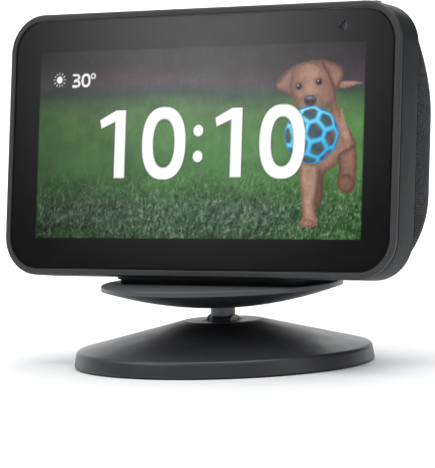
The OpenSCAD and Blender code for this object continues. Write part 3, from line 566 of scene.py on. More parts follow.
STUDIO_FLOOR = Finish(
    "Pale studio paper (matte roll)", "#e9eaeb",
    roughness=0.75, grain=Grain.FOAMED, grain_mm=1.5, relief_mm=0.01, mottle=0.01, edge_mm=0.01,
)  # an even pale ground
FLAG_CLOTH = Finish(
    "Black flag cloth (brushed cotton)", "#0a0a0a",
    roughness=1.0, grain=Grain.FOAMED, grain_mm=1.0, shine=0.0,
)  # no light back

SLOT_FINISH: dict[str, Finish] = {
    "frame_plastic": CHARCOAL_FRAME, "panel_film": PANEL_FILM, "backlight": DIFFUSER,
    "sheet_steel": SHEET_STEEL, "screw_steel": BRIGHT_SCREW, "housing_plastic": CHARCOAL_BAND,
    "shell_plastic": CHARCOAL_SHELL, "cover_plastic": BLACK_COVER, "rubber": BLACK_RUBBER,
    "circuit_board": SOLDER_MASK, "chip": EPOXY, "tin": TIN, "aluminium": SATIN_ALUMINIUM,
    "polyimide": AMBER_FILM, "brass": BRASS, "box_plastic": BLACK_COVER, "magnet": NICKEL,
    "cone": DARK_PAPER, "foam": SOFT_FOAM, "button_plastic": BUTTON_PLASTIC, "lens": LENS_GLASS,
    "port_plastic": BLACK_PORTS, "plate_plastic": SATIN_PLATE, "base_plastic": SATIN_BASE,
    "nylon": NATURAL_NYLON, "cast_zinc": CAST_ZINC,
}


class FinishShelf:
    """Builds each finish once and hands out its material."""

    def __init__(self) -> None:
        """Starts with no material made."""
        self._made: dict[object, bpy.types.Material] = {}

    def get(self, finish: object) -> bpy.types.Material:
        """Returns the material of a finish, building it the first time."""
        if finish not in self._made:
            self._made[finish] = finish.build()
        return self._made[finish]


# ---- Geometry helpers ----


@dataclass(frozen=True)
class Seat:
    """Leaning frame of the display.

    Attributes:
        lean: lean back from upright, in degrees.
        front: distance of the face in front of the swivel axis.
        bottom: height of the face's bottom edge.
    """

    lean: float = 7.0
    front: float = 19.0
    bottom: float = 29.5

    @property
    def turn(self) -> tuple[float, float]:
        """Returns the cosine and the sine of the lean."""
        return math.cos(math.radians(self.lean)), math.sin(math.radians(self.lean))

    def place(self, points: np.ndarray) -> np.ndarray:
        """Moves points from the display's frame, in millimetres, to the part's frame, in metres."""
        c, s = self.turn
        x, y, z = points[..., 0], points[..., 1], points[..., 2]
        return np.stack([x, y * c + z * s - self.front, -y * s + z * c + self.bottom], axis=-1) * MM

    def sole_level(self, y: np.ndarray | float, height: float) -> np.ndarray | float:
        """Returns z in the display's frame of a level plane at a height over the table, at depth y."""
        c, s = self.turn
        return (height - self.bottom + y * s) / c


def upright(points: np.ndarray) -> np.ndarray:
    """Turns points in millimetres, already in the part's frame, into metres."""
    return points * MM


def fillet(corners: list[tuple[float, float, float]], steps: int = 6, closed: bool = False) -> list[Point]:
    """Rounds the corners of a polyline.

    Args:
        corners: first coordinate, second coordinate and radius of each corner.
        steps: points on each rounded corner.
        closed: whether the line returns to its start.

    Returns:
        The points of the rounded line.
    """
    made: list[Point] = []
    count = len(corners)
    for i, (x, y, radius) in enumerate(corners):
        ends = not closed and i in (0, count - 1)
        if radius <= 0 or ends:
            made.append((x, y))
            continue
        here = Vector((x, y))
        back = Vector(corners[(i - 1) % count][:2]) - here
        on = Vector(corners[(i + 1) % count][:2]) - here
        angle = back.angle(on)
        reach = min(radius / math.tan(angle / 2), back.length * 0.49, on.length * 0.49)
        a, b = here + back.normalized() * reach, here + on.normalized() * reach
        for k in range(steps + 1):
            t = k / steps
            p = a.lerp(here, t).lerp(here.lerp(b, t), t)
            made.append((p.x, p.y))
    return made


def rounded_ring(width: float, height: float, radius: float, steps: int = 16) -> np.ndarray:
    """Returns the points of a rounded rectangle, counter-clockwise, with the same count at any size.

    Args:
        width: width of the rectangle.
        height: height of the rectangle.
        radius: radius of its corners.
        steps: steps round each corner.

    Returns:
        The points, as rows of two coordinates.
    """
    radius = max(radius, 0.01)
    made = []
    for k, (sx, sz) in enumerate(((1, 1), (-1, 1), (-1, -1), (1, -1))):
        for s in range(steps + 1):
            a = math.pi / 2 * (k + s / steps)
            x, z = sx * (width / 2 - radius), sz * (height / 2 - radius)
            made.append((x + radius * math.cos(a), z + radius * math.sin(a)))
    return np.array(made)


def mesh_object(
    name: str, points: np.ndarray, faces: list, finish: bpy.types.Material, sharp: float = 35.0
) -> bpy.types.Object:
    """Makes a mesh object with smooth faces and sharp edges over an angle.

    Args:
        name: name of the piece.
        points: vertices, in metres.
        faces: vertex indices of each face.
        finish: material of the piece.
        sharp: angle over which an edge stays sharp, in degrees.

    Returns:
        The new object, linked to the scene.
    """
    mesh = bpy.data.meshes.new(name)
    mesh.from_pydata([tuple(p) for p in points], [], faces)
    mesh.materials.append(finish)
    mesh.update()
    made = bpy.data.objects.new(name, mesh)
    bpy.context.scene.collection.objects.link(made)
    settle(made, sharp)
    return made


def settle(piece: bpy.types.Object, sharp: float = 35.0) -> None:
    """Turns a piece's faces outwards and shades them smooth up to an angle.

    Args:
        piece: mesh object that is changed in place.
        sharp: angle over which an edge stays sharp, in degrees.
    """
    work = bmesh.new()
    work.from_mesh(piece.data)
    bmesh.ops.remove_doubles(work, verts=work.verts, dist=1e-7)
    bmesh.ops.recalc_face_normals(work, faces=work.faces)
    work.to_mesh(piece.data)
    work.free()
    piece.data.polygons.foreach_set("use_smooth", [True] * len(piece.data.polygons))
    piece.data.set_sharp_from_angle(angle=math.radians(sharp))


def loft(
    rings: list[np.ndarray], closed: bool = False, caps: tuple[bool, bool] = (False, False)
) -> tuple[np.ndarray, list]:
    """Joins rings of equal point count with faces.

    Args:
        rings: rings of points, each closed on itself.
        closed: whether the last ring joins the first.
        caps: whether the first and the last ring are filled.

    Returns:
        The points and the faces.
    """
    n = len(rings[0])
    faces = []
    last = len(rings) if closed else len(rings) - 1
    for i in range(last):
        a, b = i * n, (i + 1) % len(rings) * n
        faces += [(a + k, a + (k + 1) % n, b + (k + 1) % n, b + k) for k in range(n)]
    if caps[0]:
        faces.append(tuple(range(n)))
    if caps[1]:
        faces.append(tuple(range(n * (len(rings) - 1), n * len(rings))))
    return np.concatenate(rings), faces


def revolve(profile: list[Point], steps: int = 160) -> tuple[np.ndarray, list]:
    """Turns a profile of radius and height round the vertical axis.

    Args:
        profile: radius and height of each point.
        steps: points round the axis.

    Returns:
        The points, in the profile's units, and the faces.
    """
    turn = np.linspace(0, FULL_TURN, steps, endpoint=False)
    away = np.stack([np.cos(turn), np.sin(turn)], -1)
    return loft([at_level(max(r, AXIS_GAP) * away, z) for r, z in profile])


def cut(piece: bpy.types.Object, tools: list[bpy.types.Object], sharp: float = 35.0) -> None:
    """Cuts tools out of a piece and removes the tools.

    Args:
        piece: mesh object that is cut.
        tools: solids that are taken out of it.
        sharp: angle over which an edge stays sharp, in degrees.
    """
    for tool in tools:
        step = piece.modifiers.new("cut", "BOOLEAN")
        step.operation = "DIFFERENCE"
        step.solver = "EXACT"
        step.object = tool
    graph = bpy.context.evaluated_depsgraph_get()
    made = bpy.data.meshes.new_from_object(piece.evaluated_get(graph))
    piece.modifiers.clear()
    old, piece.data = piece.data, made
    bpy.data.meshes.remove(old)
    for tool in tools:
        bpy.data.objects.remove(tool)
    settle(piece, sharp)


def prism(
    ring: np.ndarray, low: float, high: float, to_depth: bool, seat: Seat | None, finish: bpy.types.Material
) -> bpy.types.Object:
    """Makes a straight prism that serves as a cutting tool.

    Args:
        ring: outline as points.
        low: start of the prism.
        high: end of the prism.
        to_depth: whether the prism runs along y and not along z.
        seat: frame that the prism lies in, or None for the part's own.
        finish: material of the faces that the cut leaves.

    Returns:
        The tool.
    """
    points, faces = loft([at_level(ring, level, to_depth) for level in (low, high)], caps=(True, True))
    return mesh_object("tool", seat.place(points) if seat else upright(points), faces, finish)


def at_level(flat: np.ndarray, level: float, to_depth: bool = False) -> np.ndarray:
    """Stands a flat outline at a depth y, or lays it at a height z."""
    third = np.full(len(flat), level)
    return np.stack([flat[:, 0], third, flat[:, 1]] if to_depth else [flat[:, 0], flat[:, 1], third], -1)


def circle(radius: float, x: float = 0.0, y: float = 0.0, steps: int = 48) -> np.ndarray:
    """Returns the points of a circle."""
    a = np.linspace(0, FULL_TURN, steps, endpoint=False)
    return np.stack([x + radius * np.cos(a), y + radius * np.sin(a)], -1)


# ---- Picture on the screen ----

# Directions of the grass blades in degrees, with the width and the length of a blade.
BLADES = ((24, 0.46, 2.5), (-33, 0.44, 2.3), (62, 0.42, 1.9), (-70, 0.44, 2.0), (4, 0.48, 2.6), (-12, 0.4, 1.8))

# Strokes of the puppy, back to front. A list is an outline and a tuple an oval: centre, radii, power, lean. Two
# colours mean fur (middle, edge, direction, depth), and one means a flat tone (softness, share).
PUPPY = (
    # tail
    ([
        (51.5, 18.1), (53.8, 18.7), (58.4, 18.5), (60.9, 17.7), (57.7, 16.9), (52.7, 16.1),
    ], "#b98f80", "#8f6a5c", 90, 1.0),
    # far hind leg
    ([(45.0, -7.5), (47.7, -10.0), (47.9, -17.3), (46.7, -21.3), (44.6, -19.3)], "#85604f", "#5f4338", 0),
    # chest and flank
    ([
        (50.6, 13.4), (53.3, 9.1), (56.7, 3.4), (59.2, -0.7), (58.6, -4.2), (54.4, -5.8), (51.4, -8.3),
        (47.0, -10.6), (44.0, -7.5), (48.0, 0.1), (49.5, 8.8),
    ], "#ad8371", "#7d5a4c", 20, 2.6),
    # light on the flank
    ([(53.5, 10.0), (56.3, 3.4), (57.2, -0.5), (54.6, 0.4), (53.0, 5.0)], "#c49c8b", "#b08674", 15, 1.6),
    # raised foreleg
    ([
        (52.7, -4.2), (55.5, -2.8), (58.7, -1.2), (59.6, -4.0), (59.6, -9.0), (59.5, -14.0), (58.0, -16.2),
        (55.0, -16.4), (52.4, -13.6), (53.3, -9.5),
    ], "#9d7363", "#6f4c40", 5, 2.4),
    # raised paw
    ((56.0, -13.4, 3.1, 2.9), "#8a6152", "#6b493d", 0, 1.6),
    # standing foreleg
    ([
        (38.7, -6.2), (42.0, -6.6), (46.2, -7.2), (46.0, -13.0), (45.4, -16.6), (44.8, -19.4),
        (45.4, -22.4), (46.2, -24.9), (46.2, -26.4), (43.4, -27.1), (40.6, -26.8), (39.2, -26.0),
        (40.7, -23.9), (40.4, -20.0), (40.0, -16.5), (39.2, -11.9),
    ], "#bb9482", "#8b6556", 0, 1.9),
    # standing paw
    ((42.5, -25.7, 3.0, 1.3), "#bb8f7c", "#8b6353", 90, 1.0),
    # claws
    ((41.2, -26.2, 0.16, 0.7), "#6a4a3e", 0.4, 0.7),
    ((42.8, -26.2, 0.16, 0.7), "#6a4a3e", 0.4, 0.7),
    ((44.3, -26.2, 0.16, 0.7), "#6a4a3e", 0.4, 0.7),
    # left ear
    ([
        (36.2, 24.0), (33.8, 22.6), (32.0, 21.3), (30.3, 19.5), (29.2, 17.9), (29.8, 16.6), (31.6, 15.9),
        (33.6, 15.0), (35.4, 13.4), (35.9, 19.2),
    ], "#a27a6a", "#6e4e42", 40, 1.8),
    # head
    ([
        (35.7, 22.9), (37.4, 24.2), (39.6, 24.9), (43.5, 25.3), (46.6, 25.0), (49.4, 21.4), (51.2, 16.8),
        (51.3, 13.0), (49.6, 10.6), (46.4, 9.4), (43.1, 9.0), (39.4, 9.6), (36.9, 11.3), (35.6, 14.1),
        (34.9, 18.4),
    ], "#ad8472", "#7c594b", 0, 3.2),
    # shade under the right ear
    ((49.2, 15.8, 2.2, 6.4, 2.0, -0.25), "#7f5a4c", 2.4, 0.55),
    # shade under the left ear
    ((37.4, 19.6, 1.6, 3.6), "#8f6a5b", 2.0, 0.5),
    # brow
    ((41.4, 21.4, 3.4, 2.8), "#b98f7d", "#ab8170", 0, 2.0),
    # right ear
    ([
        (45.4, 25.7), (48.4, 25.2), (51.2, 24.2), (53.3, 22.8), (54.0, 21.0), (53.5, 18.6), (52.4, 16.4),
        (51.3, 14.3), (50.4, 16.6), (48.6, 20.3), (46.8, 23.2),
    ], "#a07766", "#6a4a3e", -25, 1.9),
)
MUZZLE = (
    # muzzle
    ((42.5, 12.2, 4.6, 3.0), "#b08a7a", "#94705f", 0, 2.0),
    # bridge of the nose
    ((42.4, 15.6, 1.5, 2.6), "#be9584", 2.0, 0.6),
    # eye socket
    ((38.0, 17.35, 1.7, 1.45), "#75503f", 0.9, 0.75),
    # eye
    ((38.0, 17.2, 1.0, 0.95), "#221a1d", 0.35),
    # glint
    ((37.7, 17.55, 0.3, 0.3), "#b9c0cc", 0.3),
    # eye socket
    ((45.3, 18.65, 1.7, 1.45), "#75503f", 0.9, 0.75),
    # eye
    ((45.3, 18.5, 1.0, 0.95), "#221a1d", 0.35),
    # glint
    ((45.0, 18.85, 0.3, 0.3), "#b9c0cc", 0.3),
    # nose
    ((42.3, 12.7, 2.3, 1.75, 2.4), "#453d45", 0.4),
    # shine on the nose
    ((42.1, 13.6, 1.3, 0.45), "#8d8a97", 0.6, 0.8),
    # nostrils
    ((41.3, 12.2, 0.4, 0.4), "#1d181c", 0.3),
    ((43.3, 12.2, 0.4, 0.4), "#1d181c", 0.3),
    # mouth
    ((42.6, 9.9, 3.9, 0.5), "#5a3f37", 0.7, 0.7),
)


class Wallpaper:
    """Picture shown on the screen: a lawn, a running puppy with a lattice ball, and the time over it.

    The picture is painted point by point on a fine grid. Places are in millimetres from its centre.
    """

    def __init__(self, width: float, height: float, pitch: float) -> None:
        """Lays out the grid.

        Args:
            width: width of the picture.
            height: height of the picture.
            pitch: distance between grid points.
        """
        self.columns = int(round(width / pitch)) + 1
        self.rows = int(round(height / pitch)) + 1
        x = np.linspace(-width / 2, width / 2, self.columns)
        y = np.linspace(-height / 2, height / 2, self.rows)
        self.x, self.y = np.meshgrid(x, y)
        self.width, self.height = width, height
        self.rgb = np.zeros((self.rows, self.columns, 3))
        self.random = np.random.default_rng(7)

    @staticmethod
    def _srgb(code: str) -> np.ndarray:
        """Returns the shares of an sRGB hex code."""
        return np.array([int(code[i : i + 2], 16) / 255 for i in (1, 3, 5)])

    def _noise(self, period_x: float, period_y: float, turn: float = 0.0) -> np.ndarray:
        """Returns smooth noise from minus one to one with periods along two turned directions.

        Args:
            period_x: period along the first direction.
            period_y: period along the second direction.
            turn: turn of the directions, in degrees.

        Returns:
            The noise at each grid point.
        """
        a = math.radians(turn)
        u = (self.x * math.cos(a) + self.y * math.sin(a)) / period_x
        v = (-self.x * math.sin(a) + self.y * math.cos(a)) / period_y
        u, v = u - u.min(), v - v.min()
        grid = self.random.uniform(-1, 1, (int(v.max()) + 3, int(u.max()) + 3))
        i, j = u.astype(int), v.astype(int)
        fu, fv = u - i, v - j
        fu, fv = fu * fu * (3 - 2 * fu), fv * fv * (3 - 2 * fv)
        low = grid[j, i] * (1 - fu) + grid[j, i + 1] * fu
        high = grid[j + 1, i] * (1 - fu) + grid[j + 1, i + 1] * fu
        return low * (1 - fv) + high * fv

    def _inside(self, corners: list[Point]) -> np.ndarray:
        """Returns the distance inside a polygon, negative outside.

        Args:
            corners: corners of the polygon, in their order.

        Returns:
            The distance at each grid point, in millimetres.
        """
        x, y = self.x, self.y
        best = np.full(x.shape, 1e9)
        inside = np.zeros(x.shape, bool)
        for (ax, ay), (bx, by) in zip(corners, corners[1:] + corners[:1]):
            dx, dy = bx - ax, by - ay
            t = np.clip(((x - ax) * dx + (y - ay) * dy) / (dx * dx + dy * dy), 0, 1)
            best = np.minimum(best, np.hypot(x - ax - t * dx, y - ay - t * dy))
            crosses = (ay > y) != (by > y)
            inside ^= crosses & (x < dx * (y - ay) / (dy if abs(dy) > 1e-9 else 1e-9) + ax)
        return np.where(inside, best, -best)

    def _oval(
        self, cx: float, cy: float, rx: float, ry: float, power: float = 2.0, lean: float = 0.0
    ) -> np.ndarray:
        """Returns the rough distance inside an oval, negative outside.

        Args:
            cx: centre across.
            cy: centre up.
            rx: half the width.
            ry: half the height.
            power: two for an ellipse, more for a squarer one.
            lean: shift across for each millimetre up.

        Returns:
            The distance at each grid point, in millimetres.
        """
        x = self.x - cx - lean * (self.y - cy)
        q = (np.abs(x / rx) ** power + np.abs((self.y - cy) / ry) ** power) ** (1 / power)
        return (1 - q) * min(rx, ry)

    def _paint(self, inside: np.ndarray, colour: str, soft: float = 0.25, share: float = 1.0) -> None:
        """Lays a flat colour over the points inside a shape."""
        a = (np.clip(inside / soft + 0.5, 0, 1) * share)[..., None]
        self.rgb = self.rgb * (1 - a) + self._srgb(colour) * a

    def _fur(self, inside: np.ndarray, colour: str, edge: str, turn: float, depth: float = 2.2) -> None:
        """Lays furry colour over a shape: darker towards the edge and streaked along a direction.

        Args:
            inside: distance inside the shape.
            colour: sRGB hex code of its middle.
            edge: sRGB hex code of its edge.
            turn: direction of the hair, in degrees.
            depth: depth over which the edge turns into the middle.
        """
        t = np.clip(inside / depth, 0, 1)[..., None]
        t = t * t * (3 - 2 * t)
        tone = self._srgb(edge) * (1 - t) + self._srgb(colour) * t
        hair = 0.05 * self._noise(0.5, 1.3, turn) + 0.05 * self._noise(0.6, 0.6) + 0.07 * self._noise(3.0, 3.0)
        tone = tone * (0.91 + hair)[..., None]
        rough = inside + 0.22 * self._noise(0.7, 0.9, turn)
        a = np.clip(rough / 0.45 + 0.5, 0, 1)[..., None]
        self.rgb = self.rgb * (1 - a) + tone * a

    def _lawn(self) -> None:
        """Paints the blurred background and the grass."""
        stops = [
            (-31, "#2c4c2a"), (-27.6, "#314f2f"), (-23, "#39573b"), (-20, "#3d5d3b"), (-16.6, "#3b6137"),
            (-13, "#406c37"), (-6, "#497742"), (0, "#4e7c43"), (6, "#507c42"), (10, "#547848"), (13, "#466842"),
            (15.5, "#394e42"), (18, "#46454a"), (20, "#4a4548"), (24, "#393638"), (28, "#302f31"),
            (31, "#2c2c2e"),
        ]
        levels = np.array([s[0] for s in stops], float)
        tones = np.array([self._srgb(s[1]) for s in stops])
        y = self.y + 1.2 * self._noise(26, 9)
        self.rgb = np.stack([np.interp(y, levels, tones[:, k]) for k in range(3)], -1)
        warm = np.clip(1 - np.hypot((self.x + 27) / 26, (self.y - 22.5) / 4.2), 0, 1)[..., None]
        self.rgb += warm * np.array([0.10, 0.01, 0.02]) * (0.8 + 0.5 * self._noise(7, 3))[..., None]
        blur = 0.07 * self._noise(11, 6) + 0.06 * self._noise(4.5, 3) + 0.04 * self._noise(1.8, 2.6)
        near = np.clip((-7 - self.y) / 14, 0, 1)
        self.rgb *= (1 + blur)[..., None]
        pale = np.clip(self._noise(9, 4) * 1.4, 0, 1) * near
        self.rgb += (pale * 0.05)[..., None] * np.array([0.9, 0.8, 1.0])
        for turn, wide, long in BLADES:
            blade = self._noise(wide, long, turn)
            lit = np.clip((blade - 0.5) / 0.35, 0, 1)[..., None] * (0.03 + 0.3 * near)[..., None]
            self.rgb += lit * (np.array([0.66, 0.76, 0.64]) - self.rgb)
            dim = np.clip((-blade - 0.45) / 0.4, 0, 1) * (0.03 + 0.26 * near)
            self.rgb *= (1 - dim)[..., None]
        self.rgb *= (1 - 0.28 * np.clip((-12 - self.x) / 45, 0, 1))[..., None]
        right = np.clip((self.x - 20) / 45, 0, 1) * np.clip((4 - self.y) / 10, 0, 1)
        self.rgb += (right * 0.04)[..., None] * np.array([0.3, 1.0, -0.2])
        top = np.clip((self.y - 12) / 6, 0, 1)
        self.rgb -= (top * 0.05 * np.clip((self.x - 10) / 30, 0, 1))[..., None] * np.array([0.7, 1.0, 0.8])

    def _strokes(self, table: tuple) -> None:
        """Lays strokes in their order.

        Args:
            table: strokes: a shape, then its look.
        """
        for shape, *look in table:
            inside = self._inside(shape) if isinstance(shape, list) else self._oval(*shape)
            furry = len(look) > 1 and isinstance(look[1], str)
            (self._fur if furry else self._paint)(inside, *look)

    def _puppy(self) -> None:
        """Paints the puppy behind its ball, with a dark crease beside its right ear."""
        self._strokes(PUPPY)
        crease = [(45.6, 25.4), (48.4, 20.6), (50.5, 16.6), (51.1, 12.6)]
        for (ax, ay), (bx, by) in zip(crease, crease[1:]):
            strip = self._inside([(ax, ay), (bx, by), (bx + 0.35, by), (ax + 0.35, ay)])
            self._paint(strip + 0.1, "#573b31", 0.4, 0.75)
        self._strokes(MUZZLE)

    @staticmethod
    def _cell_centres() -> np.ndarray:
        """Returns the twelve corners and twenty face centres of an icosahedron, turned towards the eye."""
        g = (1 + 5**0.5) / 2
        tips = []
        for a in (-1, 1):
            for b in (-g, g):
                tips += [(0, a, b), (a, b, 0), (b, 0, a)]
        tips = np.array(tips, float)
        tips /= np.linalg.norm(tips[0])
        near = tips @ tips.T > 0.4
        faces = []
        for i in range(12):
            for j in range(i):
                for k in range(j):
                    if near[i, j] and near[j, k] and near[i, k]:
                        faces.append(tips[[i, j, k]].mean(0))
        faces = np.array(faces)
        faces /= np.linalg.norm(faces, axis=1)[:, None]
        centres = np.concatenate([tips, faces])
        towards = np.array([0.12, 0.12, 0.985])
        start = faces[0]
        turn = Vector(start).rotation_difference(Vector(towards)).to_matrix()
        spin = Matrix.Rotation(0.35, 3, Vector(towards))
        return centres @ np.array(spin @ turn).T

    def _ball(self) -> None:
        """Paints the blue lattice ball, its far side seen through the holes."""
        cx, cy, rx, ry = 43.1, 1.95, 9.9, 9.2
        u, v = (self.x - cx) / rx, (self.y - cy) / ry
        q = np.hypot(u, v)
        ball = q < 1
        w = np.sqrt(np.clip(1 - q * q, 0, 1))
        centres = self._cell_centres()
        for side, width in ((-1, 0.16), (1, 0.2)):
            at = np.stack([u, v, side * w], -1)
            near = np.sort(np.arccos(np.clip(at @ centres.T, -1, 1)), axis=-1)
            gap = near[..., 1] - near[..., 0]
            strut = np.clip((width - gap) / 0.05 + 0.5, 0, 1) * ball * np.clip((1 - q) * 30, 0, 1)
            crest = np.clip(1 - gap / width, 0, 1)
            light = np.clip(0.5 - 0.35 * u + 0.45 * v, 0, 1)
            if side < 0:
                tone = self._srgb("#1d5a98")[None, None] * (0.7 + 0.3 * light)[..., None]
                strut = strut * 0.75
            else:
                dark, mid, bright = (self._srgb(c) for c in ("#1a78b8", "#35b4e6", "#b4f2fb"))
                t = (crest * 0.55 + light * 0.45)[..., None]
                tone = np.where(t < 0.5, dark + (mid - dark) * t * 2, mid + (bright - mid) * (t * 2 - 1))
            self.rgb = self.rgb * (1 - strut[..., None]) + tone * strut[..., None]
            if side < 0:
                hole = (np.clip((1 - q) * 12, 0, 1) * 0.5)[..., None]
                blotch = np.clip(0.5 + 0.9 * self._noise(2.6, 2.2), 0, 1)[..., None]
                deep = self._srgb("#26426e") * (1 - blotch) + self._srgb("#5d4743") * blotch
                self.rgb = self.rgb * (1 - hole) + deep * hole
        rim = np.clip(1 - np.abs(q - 0.965) / 0.035, 0, 1)[..., None] * 0.8
        self.rgb = self.rgb * (1 - rim) + self._srgb("#2487c4") * rim

    def _white(self, inside: np.ndarray, soft: float = 0.3) -> None:
        """Lays white lettering with a thin soft shadow."""
        self._paint(inside + 0.3, "#1c261c", 0.7, 0.35)
        self._paint(inside, "#ffffff", soft)

    def _zero(self, cx: float, cy: float, rx: float, ry: float, stroke: float) -> np.ndarray:
        """Returns the inside of an upright ring drawn as a zero."""
        outer = self._oval(cx, cy, rx, ry, 2.35)
        inner = self._oval(cx, cy, rx - stroke, ry - stroke * 0.92, 2.3)
        return np.minimum(outer, -inner)

    def _time(self) -> None:
        """Paints the clock and the weather over the picture."""
        one = [
            (-37.1, 7.9), (-30.9, 10.95), (-27.0, 10.95), (-27.0, -11.15), (-31.1, -11.15), (-31.1, 7.3),
            (-36.5, 5.1),
        ]
        self._white(self._inside(one))
        self._white(self._inside([(x + 44.55, y) for x, y in one]))
        self._white(self._zero(-12.0, 0.0, 8.35, 11.75, 4.2))
        self._white(self._zero(32.5, 0.0, 8.35, 11.75, 4.2))
        self._white(self._oval(1.15, 3.9, 1.85, 1.85))
        self._white(self._oval(1.15, -4.4, 1.85, 1.85))
        self._white(self._oval(-53.9, 21.5, 1.15, 1.15), 0.25)
        for k in range(12):
            a = math.pi * k / 6
            c, s = math.cos(a), math.sin(a)
            near, far, wide = 1.65, 2.45, 0.13
            ends = ((near, wide), (far, wide), (far, -wide), (near, -wide))
            self._white(self._inside([(-53.9 + c * r - s * w, 21.5 + s * r + c * w) for r, w in ends]), 0.25)
        for cy, rx, ry in ((22.2, 1.5, 1.15), (20.15, 1.7, 1.3)):
            hole = self._oval(-47.2, cy, rx - 0.8, ry - 0.72, 2.2)
            bow = np.minimum(self._oval(-47.2, cy, rx, ry, 2.2), -hole)
            self._white(np.minimum(bow, self.x + 47.6 + 0.5 * (cy < 21)), 0.25)
        self._white(self._inside([(-48.7, 23.35), (-47.1, 23.35), (-47.1, 22.6), (-48.5, 22.6)]), 0.25)
        self._white(self._inside([(-48.8, 18.85), (-47.1, 18.85), (-47.1, 19.6), (-48.8, 19.75)]), 0.25)
        self._white(self._zero(-43.3, 21.15, 1.8, 2.25, 0.82), 0.25)
        self._white(self._zero(-40.4, 22.5, 0.95, 0.95, 0.45), 0.25)

    def paint(self) -> np.ndarray:
        """Paints everything.

        Returns:
            Linear colour of each grid point, row by row from the bottom, with an alpha of one.
        """
        self._lawn()
        self._puppy()
        self._ball()
        self._time()
        edge = np.minimum(self.width / 2 - np.abs(self.x), self.height / 2 - np.abs(self.y))
        self.rgb *= np.clip(0.55 + edge / 0.9, 0, 1)[..., None]
        shown = np.clip(self.rgb, 0, 1)
        light = np.where(shown <= 0.04045, shown / 12.92, ((shown + 0.055) / 1.055) ** 2.4)
        return np.concatenate([light, np.ones(light.shape[:2] + (1,))], -1).reshape(-1, 4)


# ---- Display ----


@dataclass(frozen=True)
class FaceSizes:
    """Sizes of the display's face."""

    width: float = 148.0
    height: float = 86.6
    radius: float = 13.0
    rim_w: float = 2.0
    rim_d: float = 1.6
    skirt_in: float = 2.35
    skirt_end: float = 4.4
    ledge_in: float = 3.8
    glass_front: float = 0.3
    glass_back: float = 1.4
    picture_w: float = 123.6
    picture_h: float = 61.8
    picture_up: float = 43.1
    picture_pitch: float = 0.3
    lens_x: float = 53.2
    lens_up: float = 78.9
    lens_r: float = 1.75


class FramedPart:
    """Builds pieces that run round the face's outline."""

    CORNER_STEPS = 18

    def __init__(self, face: FaceSizes, seat: Seat, shelf: FinishShelf) -> None:
        """Keeps the face's sizes, its seat and the finishes."""
        self.face, self.seat, self.shelf = face, seat, shelf

    def ring(self, inset: float, y: float) -> np.ndarray:
        """Returns the face's outline, drawn in by an inset, at a depth.

        Args:
            inset: distance in from the outline.
            y: depth of the ring.

        Returns:
            The ring's points in the display's frame.
        """
        f = self.face
        flat = rounded_ring(f.width - 2 * inset, f.height - 2 * inset, f.radius - inset, self.CORNER_STEPS)
        flat[:, 1] += f.height / 2
        return at_level(flat, y, True)

    def run(
        self, name: str, profile: list[Point], finish: object, closed: bool = True, caps: tuple = (False, False)
    ) -> bpy.types.Object:
        """Runs a profile of inset and depth round the face.

        Args:
            name: name of the piece.
            profile: inset and depth of each point.
            finish: finish of the piece.
            closed: whether the profile returns to its start.
            caps: whether the first and the last ring are filled.

        Returns:
            The piece.
        """
        points, faces = loft([self.ring(i, y) for i, y in profile], closed, caps)
        return mesh_object(name, self.seat.place(points), faces, self.shelf.get(finish), 40.0)


